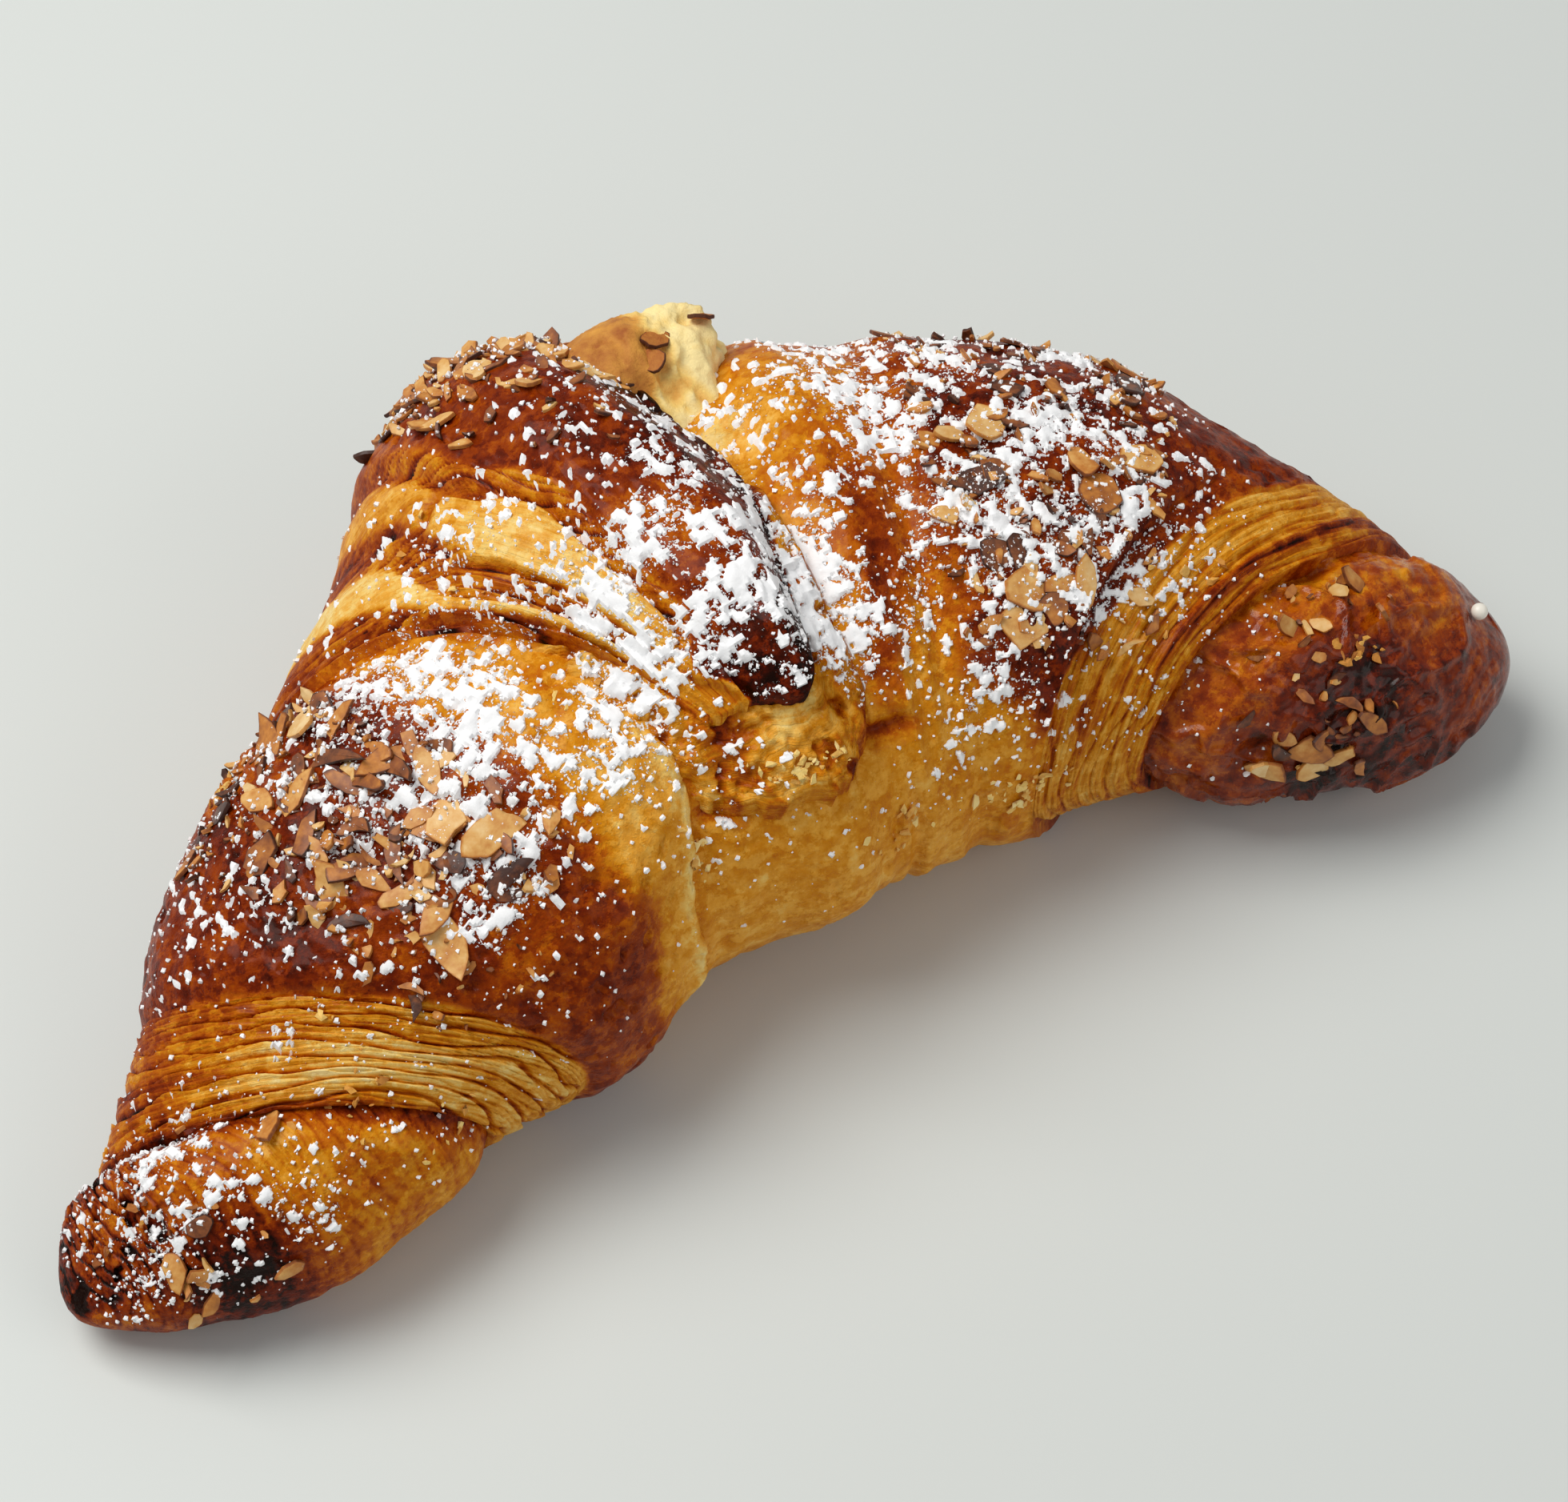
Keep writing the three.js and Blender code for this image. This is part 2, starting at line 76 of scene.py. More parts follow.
# half width, height of the top and height of the foot, at even stations
GIRTH = np.array(
    [
        (8.5, 11.0, 1.5),
        (17.5, 25.5, 0.5),
        (25.0, 35.5, 0.0),
        (30.5, 44.0, 0.0),
        (38.0, 49.0, 0.0),
        (32.0, 45.0, 0.0),
        (25.5, 40.0, 0.0),
        (19.0, 31.5, 0.5),
        (12.0, 22.0, 3.0),
    ]
)
WIDEST = 0.42  # share of the height at which the roll is widest
SAG = 1.15  # factor on the depth of the foot, which is flattened where it rests
ROUNDNESS = {"top": 2.15, "foot": 2.2}  # power of the section's curve: 2 is an ellipse
CAP = {"left": 0.11, "right": 0.1}  # shares of the length over which the tips close
CAP_POWER = {"left": 2.3, "right": 2.0}
SPINE_STEPS = 400
RING = 22.0  # radius of a middling ring round the roll, on which patterns along the layers are measured

# ---- The turns of pastry: offsets from the roll in millimetres, places as shares of its length ----
LEFT_LAYERS = 7
RIGHT_LAYERS = 6
RISER = 0.35  # share of a layer's width over which it steps up
SUNK = -8.0  # offset of all that lies hidden inside the roll
LEFT_TIP = {"base": -1.0, "swell": 2.2, "tuck": 2.4}
LEFT_TURN = {"band": -1.9, "layers": 1.7, "crust": -0.2, "lip": 0.6, "swell": 2.2, "fall": 1.6, "lap": 3.0}
CROWN = {"band": 0.2, "crust": 3.4, "lip": 0.5, "swell": 2.2, "rolled": 4.0, "tongue": 1.5}
# where the lower terrace, the orange strip and the upper terrace begin, as shares of the band: in front
# and at the back
CROWN_STEPS = [(0.03, 0.18), (0.15, 0.46), (0.38, 0.57)]
CROWN_RISES = [0.9, 1.15, 1.15]
SHOULDER = {"height": 4.5, "s": 0.45, "long": 0.05, "degrees": 150, "round": 45}
TORN = {"base": -3.4, "swell": 4.9, "from": 0.38, "to": 0.56, "round": 45}
RIGHT_TURN = {"valley": -1.5, "dip": 1.0, "hump": 3.8, "lean": 0.8, "swell": 2.0, "fall": 1.2, "layers": 1.8}
RIGHT_TIP = {"base": -3.4, "rise": 3.6}
FOOT = 258  # the angle at which the crown tucks under


# ---- Small curves ----
def share(x, a, b):
    """How far x has come on the way from a to b, from 0 to 1."""
    return np.clip((x - a) / (b - a), 0, 1)


def smooth(x, a, b):
    """As share, but easing in and out."""
    t = share(x, a, b)
    return t * t * (3 - 2 * t)


def lerp(a, b, t):
    return a + (b - a) * t


def arch(t):
    """0 at both ends of the way from 0 to 1, and 1 in its middle."""
    return np.sin(np.pi * np.clip(t, 0, 1))


def bell(x, middle, width):
    return np.exp(-(((x - middle) / width) ** 2))


def stair(t, count, riser):
    """A flight of steps from 0 to 1, each rising over the first `riser` of its tread."""
    n = np.clip(t, 0, 1) * count
    return (np.floor(n) + np.clip((n - np.floor(n)) / riser, 0, 1)) / count


# ---- Noise that gives the same numbers each run ----
MASK = 0xFFFFFFFF  # keeps whole numbers to 32 bits


def lattice(ix, iy, iz, seed):
    """A number from -1 to 1 for each corner of a lattice of cubes, mixed with large odd factors."""
    h = (ix * 374761393 + iy * 668265263 + iz * 1440670441 + seed * 974634777) & MASK
    h = ((h ^ (h >> 13)) * 1274126177) & MASK
    return ((h ^ (h >> 16)) & MASK) / (MASK / 2) - 1


def grain_of(points, seed):
    """Smooth noise from -1 to 1 that changes over one unit."""
    cell = np.floor(points).astype(np.int64)
    f = points - cell
    f = f * f * (3 - 2 * f)
    x, y, z = cell[..., 0], cell[..., 1], cell[..., 2]
    total = 0
    for dx in (0, 1):
        for dy in (0, 1):
            for dz in (0, 1):
                wx = f[..., 0] if dx else 1 - f[..., 0]
                wy = f[..., 1] if dy else 1 - f[..., 1]
                wz = f[..., 2] if dz else 1 - f[..., 2]
                total = total + wx * wy * wz * lattice(x + dx, y + dy, z + dz, seed)
    return total


def rough(points, size, octaves, seed, keep=0.5):
    """Noise summed over octaves, the coarsest `size` millimetres across, each `keep` as strong."""
    total, strength = 0, 1.0
    for octave in range(octaves):
        total = total + strength * grain_of(points * (2**octave / size) + 17.3 * octave, seed + octave)
        strength *= keep
    return total


def around_roll(degrees, run=1.0):
    """Two coordinates on a ring round the roll, in steps of `run` millimetres."""
    a = np.radians(degrees)
    return RING * np.cos(a) / run, RING * np.sin(a) / run


def strands(across, degrees, width, seed, run=9.0):
    """Lines that run round the roll: noise as fine as `width` across them and drawn out along them."""
    at = np.stack([across / width, *around_roll(degrees, run)], -1)
    return grain_of(at, seed) + 0.5 * grain_of(at * 2.1 + 5.7, seed + 1)


def ridges(across, degrees, width, seed, run=14.0):
    """Lapped strands: 0 in the groove between two, 1 at a strand's far edge; and a tone for each strand."""
    along, run_round = around_roll(degrees, run)

    def wave(first, closer, number):
        return grain_of(np.stack([first, closer * along, closer * run_round], -1), seed + number)

    x = across / width + 1.1 * wave(across / (3.5 * width), 1, 0)
    x = x + 0.4 * wave(across / (1.4 * width), 2.7, 2)
    strand = np.floor(x).astype(np.int64)
    part = x - strand
    tone = 0.6 * lattice(strand, strand * 0, strand * 0, seed + 1) + 0.8 * wave(3.7 * strand, 1.6, 4)
    return smooth(part, 0, 0.22) * (0.55 + 0.45 * part) * (1 - smooth(part, 0.84, 1)), tone


def veins(points, size, seed):
    """Narrow winding ridges: 1 on a ridge, falling off to both sides."""
    return 1 - smooth(np.abs(rough(points, size, 2, seed)), 0.0, 0.22)


def blobs(points, size, seed):
    """How deep a point lies in one of many balls, one to a cell of `size` and unlike in radius."""
    at = points / size
    cell = np.floor(at).astype(np.int64)
    deepest = np.full(points.shape[:-1], -1.0)
    for step in np.ndindex(3, 3, 3):
        c = cell + np.array(step) - 1
        shift = [0.5 + 0.5 * lattice(c[..., 0], c[..., 1], c[..., 2], seed + axis) for axis in range(4)]
        away = np.sqrt(sum((c[..., axis] + shift[axis] - at[..., axis]) ** 2 for axis in range(3)))
        deepest = np.maximum(deepest, 0.9 * shift[3] - away)
    return deepest * size


def numbers(seed):
    """A repeatable stream of numbers from 0 to 1."""
    a = seed
    while True:
        a = (a + 0x6D2B79F5) & MASK
        t = ((a ^ (a >> 15)) * (1 | a)) & MASK
        t = ((t + (((t ^ (t >> 7)) * (61 | t)) & MASK)) & MASK) ^ t
        yield (t ^ (t >> 14)) / (MASK + 1)


# ---- The roll's shape ----
def heading(s):
    """The direction of the roll's middle line at share s."""
    turn = (HEADING["left"] - HEADING["right"]) * smooth(s, *BEND)
    nose = (HEADING["left"] - HEADING["tip"]) * (1 - smooth(s, 0, TIP_BEND))
    hook = HEADING["hook"] * smooth(s, HOOK_BEND, 1)
    return np.radians(HEADING["left"] - nose - turn + hook)


def spine_line(tip, step):
    """One coordinate of the middle line at even stations, summed from its headings."""
    h = heading((np.arange(SPINE_STEPS) + 0.5) / SPINE_STEPS)
    return tip + np.concatenate([[0], np.cumsum(step(h))]) * LENGTH / SPINE_STEPS


SPINE_X = spine_line(TIP[0], np.cos)
SPINE_Y = spine_line(TIP[1], np.sin)


def spine(s):
    stations = np.linspace(0, 1, SPINE_STEPS + 1)
    return np.interp(s, stations, SPINE_X), np.interp(s, stations, SPINE_Y)


def girth(s):
    """Half width, top and foot at share s, on a smooth curve through the stations."""
    ends = np.vstack([2 * GIRTH[0] - GIRTH[1], GIRTH, 2 * GIRTH[-1] - GIRTH[-2]])
    u = np.clip(s, 0, 1) * (len(GIRTH) - 1)
    i = np.minimum(u.astype(int), len(GIRTH) - 2)
    f = (u - i)[..., None]
    a, b, c, d = (ends[i + k] for k in range(4))
    cubic = (3 * b - a - 3 * c + d) * f**3
    v = 0.5 * (2 * b + (c - a) * f + (2 * a - 5 * b + 4 * c - d) * f**2 + cubic)
    return v[..., 0], v[..., 1], v[..., 2]


def cap(s):
    """1 along the roll, falling to 0 at both tips."""
    a = share(CAP["left"] - s, 0, CAP["left"])
    b = share(s - 1 + CAP["right"], 0, CAP["right"])
    left = (1 - a ** CAP_POWER["left"]) ** (1 / CAP_POWER["left"])
    return left * (1 - b ** CAP_POWER["right"]) ** (1 / CAP_POWER["right"])


def place(s, degrees, off):
    """The point at share s and an angle round the roll, `off` millimetres outside it."""
    s, degrees, off = np.broadcast_arrays(*(np.asarray(v, float) for v in (s, degrees, off)))
    s = np.clip(s, 0, 1)
    half, top, foot = girth(s)
    middle = foot + (top - foot) * WIDEST
    c, u = np.cos(np.radians(degrees)), np.sin(np.radians(degrees))
    power = np.where(u > 0, ROUNDNESS["top"], ROUNDNESS["foot"])
    r = (np.abs(c) ** power + np.abs(u) ** power) ** (-1 / power)
    across = half * c * r
    rise = np.where(u > 0, top - middle, (middle - foot) * SAG) * u * r
    grow = cap(s) * (1 + off / np.hypot(across, rise))
    h = heading(s)
    x, y = spine(s)
    up = np.maximum(middle + rise * grow, 0)
    return np.stack([x + np.sin(h) * across * grow, y - np.cos(h) * across * grow, up], -1)


def core(s):
    """The point in the middle of the roll at share s."""
    s = np.asarray(np.clip(s, 0, 1), float)
    _, top, foot = girth(s)
    x, y = spine(s)
    return np.stack([x, y, foot + (top - foot) * WIDEST], -1)


def spot(points, s, degrees, radius):
    """1 at a place of the roll, fading over `radius` millimetres."""
    away = points - place(s, degrees, 0)
    return np.exp(-(away**2).sum(-1) / radius**2)


def spots(points, places):
    """The sum of some spots, each given by its share, angle, radius and strength."""
    return sum(strength * spot(points, s, degrees, radius) for s, degrees, radius, strength in places)


# ---- Edges between the turns: share s for an angle ----
def edge_at(middle, front, top):
    """An edge that lies at `middle` and leans by `front` at the front and by `top` at the top."""
    return lambda d: middle + front * np.cos(np.radians(d)) + top * np.sin(np.radians(d))


left_band_start = edge_at(0.13, 0.075, -0.022)
left_crust_start = edge_at(0.197, 0.062, -0.018)
crown_band_start = edge_at(0.345, 0.06, 0.055)
crown_crust_start = edge_at(0.452, 0, 0)


def crown_end(degrees):
    """The crown's ragged end, drawn back a little where the filling swells out."""
    around = np.asarray(degrees, float)[..., None] * [1, 0, 0]
    return 0.545 - 0.016 * bell(degrees, 120, 18) + 0.0035 * rough(around, 9.0, 3, 127, 0.6)


right_band_start = edge_at(0.79, -0.085, 0)
right_tip_start = edge_at(0.872, -0.085, 0)


def fixed(s):
    return edge_at(s, 0, 0)


def round_half(degrees):
    """The angle from -90 to 270, so that the seam of a turn lies at its foot."""
    return np.mod(np.asarray(degrees, float) + 90, 360) - 90


def left_crust_end(degrees):
    """How far the left-hand turn reaches in under the crown."""
    d = round_half(degrees)
    return 0.356 + 0.106 * smooth(d, 20, 62)


def tongue_edge(s):
    """The angle at which the crown's front edge lies, lowest in its middle."""
    right = 24 * np.clip((s - 0.488) / 0.05, 0, 1.5) ** 2
    return 57 - 2.5 * smooth(s, 0.45, 0.49) + right + 16 * (1 - smooth(s, 0.37, 0.41))


def left_seam(degrees):
    """Where the left-hand turn's lapped edge shows on the belly."""
    return 0.355 + 0.045 * smooth(degrees, 15, 58)


def torn_edge(s):
    """The ragged front edge of the torn layer that peeps out below the tongue."""
    along = np.asarray(s, float)[..., None] * LENGTH * [1, 0, 0]
    return 38 + 20 * np.clip(np.abs(s - 0.475) / 0.1, 0, 1.3) ** 4 + 2.4 * rough(along, 5.0, 3, 145, 0.7)


def crown_steps(s, degrees):
    """The share across the crown's band, and where its steps lie: from the foot to the dark crust."""
    start = crown_band_start(degrees)
    t = (s - start) / (crown_crust_start(degrees) - start)
    back = smooth(degrees, 100, 140)
    steps = [lerp(front, behind, back) for front, behind in CROWN_STEPS]
    crust_edge = lerp(1.08, 0.83, smooth(degrees, 102, 120)) - 0.6 * bell(degrees, 66, 5)
    return t, [*steps, crust_edge - 0.16 + 0.1 * back, crust_edge]


def hump_crease(degrees):
    """Where the crease at the foot of the golden hump lies."""
    return 0.565 + 0.031 * smooth(degrees, 40, 76)


def dark_start(degrees):
    """Where the golden hump gives way to the dark crust of the right-hand turn."""
    return 0.645 + 0.075 * (1 - smooth(degrees, 20, 50))


# ---- How far each turn stands off the roll ----
def left_tip_off(s, d):
    end = left_band_start(d)
    tuck = LEFT_TIP["tuck"] * smooth(s, end - 0.025, end + 0.01)
    return LEFT_TIP["base"] + LEFT_TIP["swell"] * arch(share(s, 0, end)) - tuck


def left_turn_off(s, d):
    t = LEFT_TURN
    start = left_crust_start(d)
    band = t["band"] + t["layers"] * stair(share(s, left_band_start(d), start), LEFT_LAYERS, RISER)
    u = share(s, start, crown_band_start(d))
    end = left_crust_end(d)
    rise = t["lip"] * smooth(u, 0, 0.05) + t["swell"] * arch(u) ** 0.8
    crust = t["crust"] + rise - t["fall"] * smooth(u, 0.7, 1) - t["lap"] * smooth(s, end - 0.09, end)
    return np.where(s < start, band, crust)


def crown_off(s, d):
    t = CROWN
    start = crown_crust_start(d)
    shoulder = SHOULDER["height"] * bell(s, SHOULDER["s"], SHOULDER["long"])
    shoulder = shoulder * bell(d, SHOULDER["degrees"], SHOULDER["round"])
    u, (foot, strip, upper, rim, crust_edge) = crown_steps(s, d)
    rises = (smooth(u, 0, foot), smooth(u, strip, upper), smooth(u, rim, np.minimum(crust_edge, 1)))
    band = t["band"] + sum(height * rise for height, rise in zip(CROWN_RISES, rises))
    u = share(s, start, crown_end(d))
    edge = tongue_edge(s)
    thinner = t["rolled"] * smooth(u, 0.55, 1) + t["tongue"] * (1 - smooth(d, edge, edge + 12))
    crust = t["crust"] + t["lip"] * smooth(u, 0, 0.1) + t["swell"] * arch(u) - thinner
    return shoulder + np.where(s < start, band, crust)


def torn_off(s, d):
    return TORN["base"] + TORN["swell"] * arch(share(s, TORN["from"], TORN["to"])) ** 0.5


def right_turn_off(s, d):
    t = RIGHT_TURN
    start = right_band_start(d)
    step = 1 - share(s, start, right_tip_start(d))
    band = -t["layers"] * (1 - stair(step, RIGHT_LAYERS, RISER))
    rise = (t["hump"] - t["lean"] * (1 + np.cos(np.radians(d)))) * smooth(s, 0.545, 0.6)
    low = t["valley"] - t["dip"] * smooth(s, 0.42, 0.5) + rise
    crust = low + t["swell"] * arch(share(s, 0.62, 0.85)) - t["fall"] * smooth(s, 0.75, 0.83)
    return np.where(s >= start, band, crust)


def right_tip_off(s, d):
    start = right_tip_start(d)
    return RIGHT_TIP["base"] + RIGHT_TIP["rise"] * smooth(s, start - 0.01, start + 0.05)


# ---- The baked surface: fine relief, browning with painted shade and painted highlights in it (0 pale, 1 nearly black), gloss and the layers' run ----
# patches that are darker, or paler where the last number is below 0: share, angle, radius, strength
LEFT_TIP_PATCHES = [
    (0.078, 26, 6.0, 0.34),
    (0.09, -10, 12, 0.10),
    (0.066, 84, 7, -0.20),
    (0.16, 20, 14, 0.06),
]
LEFT_CRUST_PATCHES = [(0.30, 10, 16, -0.08), (0.24, 48, 10, -0.07)]
# the second crown patch is a painted highlight: a paler spot where the crust catches the light
CROWN_PATCHES_AND_HIGHLIGHT = [(0.49, 88, 7, -0.10), (0.476, 122, 7, -0.07)]
# the last right-hand tip patch is a painted sheen: a paler spot on its top
RIGHT_TIP_PATCHES_AND_SHEEN = [
    (0.905, 14, 14, 0.24),
    (0.885, 48, 6, 0.12),
    (0.85, 60, 9, -0.12),
    (0.935, 92, 8, -0.09),
]


def crust_relief(q, across, d, seed):
    """Blisters, pits and fine wrinkles of a browned crust."""
    wrinkles = 0.07 * strands(across, d, 1.3, seed + 9) + 0.03 * strands(across, d, 0.5, seed + 19)
    pits = 0.55 * smooth(grain_of(q / 1.7, seed + 29), 0.45, 0.75)
    blisters = 0.3 * smooth(grain_of(q / 3.1, seed + 39), 0.3, 0.8)
    return 0.42 * rough(q, 6.0, 3, seed) + 0.16 * rough(q, 1.4, 2, seed + 5) + wrinkles + blisters - pits


def band_relief(across, d, width, depth, seed):
    """Strands of laminated pastry with fine lines on them: their height, and how browned each part is,
    darkest in the furrows between strands as painted shade.
    """
    ridge, tone = ridges(across, d, width, seed)
    middle, middle_tone = ridges(across, d, width * 0.41, seed + 3, 10.0)
    fine = strands(across, d, 0.42, seed + 6, 8.0)
    height = depth * (ridge - 0.9) + 0.35 * depth * (middle - 0.8) + 0.16 * fine
    # the furrows between strands are darkened as painted shade; each strand's own tone differs at random
    brown = 0.30 * (1 - smooth(ridge, 0.1, 0.6)) + 0.10 * (1 - smooth(middle, 0.1, 0.7))
    return height, brown + 0.11 * tone + 0.05 * middle_tone - 0.08 * fine


def crease(across, width):
    """1 at the very foot of a turn, fading over a width: where painted shade darkens the crease."""
    return 1 - smooth(across, 0, width)


# A skin takes shares, angles and the roll's points there, and gives the relief over its turn in millimetres,
# the browning with painted shade and painted highlights in it, the gloss and the distance across the layers.
def left_tip_skin(s, d, q):
    across = s * LENGTH + 0.8 * grain_of(q / 7, 11)
    ribs = (1 - smooth(s, 0.05, 0.075)) * smooth(d, 20, 60)
    height, brown = band_relief(across, d, 1.25, 0.55, 20)
    pits = 1.1 * smooth(rough(q, 1.7, 2, 35), 0.3, 0.5) * ribs
    height = height * (0.2 + 0.9 * ribs) + 0.6 * rough(q, 7, 3, 31) - pits
    # the sunk pits are darkened as painted shade
    bake_and_painted_light = 0.66 - 0.28 * smooth(s, 0.08, 0.12) + brown * (0.35 + 0.65 * ribs) + 0.25 * pits
    bake_and_painted_light = bake_and_painted_light + spots(q, LEFT_TIP_PATCHES) + 0.12 * ribs + 0.08 * rough(q, 6, 3, 37)
    # painted shade: the tip darkens where it tucks into the crease under the band
    bake_and_painted_light = bake_and_painted_light + 0.3 * smooth(s, left_band_start(d) - 0.018, left_band_start(d))
    return height, bake_and_painted_light, 0.55 + 0.2 * rough(q, 6, 1, 33), across


def left_turn_skin(s, d, q):
    start, crust = left_band_start(d), left_crust_start(d)
    width = (crust - start) * LENGTH
    across = (s - start) * LENGTH + 0.9 * grain_of(q / 11, 41)
    on_band = 1 - smooth(s, crust - 0.002, crust + 0.004)
    laid = across * (0.75 + 0.55 * share(across, 0, width))
    height, brown = band_relief(laid, d, 2.5, 1.05, 50)
    middle = arch(share(across, 0.05 * width, 0.75 * width))
    band_bake_and_shade = 0.43 - 0.22 * middle * bell(d, 58, 40) + 1.0 * brown + 0.12 * smooth(d, 85, 120)
    # the foot of the band is darkened as painted shade in its crease
    band_bake_and_shade = band_bake_and_shade - 0.10 * (1 - smooth(d, 55, 80)) + 0.25 * crease(across, 1.2)
    edge = smooth(s, crust, crust + 0.02)
    wander = s + 0.012 * rough(q, 9, 3, 61)
    gilded = smooth(wander + 0.02 * (1 - smooth(d, 5, 40)), 0.312, 0.350)
    crust_bake_and_painted_light = 0.78 - 0.42 * gilded + 0.08 * rough(q, 7, 3, 71)
    # painted shade: the crust darkens where it runs into the crease under the crown's band
    crust_bake_and_painted_light = crust_bake_and_painted_light + 0.14 * smooth(s, crown_band_start(d) - 0.012, crown_band_start(d))
    crust_bake_and_painted_light = crust_bake_and_painted_light - 0.09 * veins(q, 9, 73) * smooth(s, 0.28, 0.32) + spots(q, LEFT_CRUST_PATCHES)
    crust_bake_and_painted_light = lerp(0.76, crust_bake_and_painted_light, edge)
    torn = spot(q, 0.266, 148, 4.5)
    frayed = left_seam(d) + 0.004 * rough(q, 3, 3, 93)
    front = 1 - smooth(d, 56, 66)
    lap = (0.4 * bell(s, frayed - 0.006, 0.006) - 1.2 * smooth(s, frayed, frayed + 0.003)) * front
    relief = crust_relief(q, across, d, 81) + torn * (1.2 * rough(q, 1.6, 3, 91) - 0.5) + lap
    bake_and_painted_light = lerp(crust_bake_and_painted_light, band_bake_and_shade, on_band) - 0.25 * torn - 0.12 * bell(s, frayed - 0.006, 0.005) * front
    # a dark line at the foot of the lapped edge's step is painted shade
    bake_and_painted_light = bake_and_painted_light + 0.18 * bell(s, frayed + 0.002, 0.0025) * front - 0.05 * bell(s, frayed, 0.012) * front
    gloss = lerp(0.85 - 0.35 * gilded, 0.3, on_band)
    return lerp(relief, height, on_band), bake_and_painted_light, gloss, across


def crown_skin(s, d, q):
    start = crown_band_start(d)
    across = (s - start) * LENGTH + 1.0 * grain_of(q / 12, 101)
    wander = s + 0.004 * grain_of(q / 8, 115)
    t, (foot, strip, upper, rim, crust_edge) = crown_steps(wander, d)
    on_band = 1 - smooth(t, crust_edge - 0.02, crust_edge + 0.03) * (s > start)
    lower_terrace = smooth(t, foot, foot + 0.05) * (1 - smooth(t, strip - 0.04, strip))
    upper_terrace = smooth(t, upper - 0.02, upper + 0.05) * (1 - smooth(t, rim - 0.05, rim))
    pale = (lower_terrace + upper_terrace) * smooth(d, 58, 84) * (1 - 0.85 * smooth(d, 160, 205))
    fold_line = 123 + 60 * (0.43 - s) + 1.5 * grain_of(q / 4, 119)
    shaded_fold = bell(d, fold_line, 2.2) * upper_terrace
    lobe = smooth(d, fold_line - 1, fold_line + 5) * upper_terrace
    height, brown = band_relief(across, d, 1.3, 0.5, 110)
    calm = 1 - 0.8 * smooth(d, 128, 158)  # fine lines fade out at the back, where the rows are far apart
    height, brown = height * calm, brown * calm
    pillow = 0.7 * arch(share(t, upper, rim)) + 0.45 * arch(share(t, foot, strip))
    shaded_grooves = 0.9 * bell(t, upper - 0.02, 0.03) + 0.7 * bell(t, foot * 0.4, 0.02) + 0.5 * bell(t, rim, 0.025)
    front = 1 - smooth(d, 58, 80)
    band_bake_and_shade = 0.50 - 0.36 * pale - 0.12 * front + brown * (1 - 0.8 * pale) * (1 - 0.7 * front)
    band_bake_and_shade = band_bake_and_shade + 0.10 * rough(q, 6, 3, 117) * pale
    # the foot of the band is darkened as painted shade in its crease
    band_bake_and_shade = band_bake_and_shade + 0.14 * smooth(d, 132, 155) * (1 - pale) + 0.12 * crease(across, 1.2)
    band_bake_and_shade = band_bake_and_shade + 0.10 * upper_terrace * smooth(d, 122, 130) + 0.06 * upper_terrace
    # painted shade: the sunk line where the terrace folds, the strip beside it and the furrows at the steps'
    # feet are darkened
    band_bake_and_shade = band_bake_and_shade + 0.34 * shaded_fold + 0.16 * upper_terrace * bell(d, fold_line - 6, 3) + 0.14 * shaded_grooves
    crust_bake_and_painted_light = 0.77 + 0.15 * smooth(s, 0.475, 0.53) * (1 - smooth(d, 120, 150))
    crust_bake_and_painted_light = crust_bake_and_painted_light + 0.14 * (1 - smooth(d, tongue_edge(s), tongue_edge(s) + 16))
    crust_bake_and_painted_light = crust_bake_and_painted_light + 0.09 * rough(q, 7, 3, 121) + spots(q, CROWN_PATCHES_AND_HIGHLIGHT)
    crust_bake_and_painted_light = lerp(0.66, crust_bake_and_painted_light, smooth(t, crust_edge, crust_edge + 0.06))
    crust_bake_and_painted_light = crust_bake_and_painted_light - 0.2 * smooth(d, 170, 215)
    relief = crust_relief(q, across, d, 131)
    height = (height * (1 - 0.8 * pale) + pillow - shaded_grooves) * (1 - front) - 1.2 * shaded_fold - 0.6 * lobe
    height = height + 0.3 * rough(q, 5, 3, 133) * pale
    bake_and_painted_light = lerp(crust_bake_and_painted_light, band_bake_and_shade, on_band)
    gloss = lerp(0.7, 0.35, on_band)
    return lerp(relief, height, on_band), bake_and_painted_light, gloss, across


def torn_skin(s, d, q):
    edge = torn_edge(s)
    across = (d - edge) * 0.6
    frayed = 1 - smooth(d, edge + 3, edge + 10)
    shaded_hollows = smooth(rough(q, 3.0, 3, 143, 0.6), 0.1, 0.7)
    fibres = strands(s * LENGTH + 0.5 * across, d, 0.8, 147, 3.0)
    height = 0.7 * rough(q, 2.0, 3, 141, 0.6) - 0.9 * shaded_hollows + 0.3 * fibres * frayed
    crumb = bell(d, 53, 6) * smooth(s, 0.428, 0.45) * (1 - smooth(s, 0.49, 0.51))
    # the sunk pockets are darkened as painted shade
    bake_and_painted_light = 0.38 - 0.16 * crumb + 0.20 * shaded_hollows + 0.12 * rough(q, 2.0, 3, 151) + 0.10 * fibres * frayed
    bake_and_painted_light = bake_and_painted_light + 0.24 * spot(q, 0.434, 58, 4.0) + 0.10 * bell(d, edge - 0.5, 1.5)
    bake_and_painted_light = bake_and_painted_light + 0.12 * smooth(s, 0.50, 0.53)
    # painted shadow: the torn layer darkens just under the tongue's edge
    bake_and_painted_light = bake_and_painted_light + 0.34 * smooth(d, tongue_edge(s) - 3.0, tongue_edge(s) + 1) * smooth(s, 0.43, 0.442)
    return height, bake_and_painted_light, 0.15 + 0 * s, across


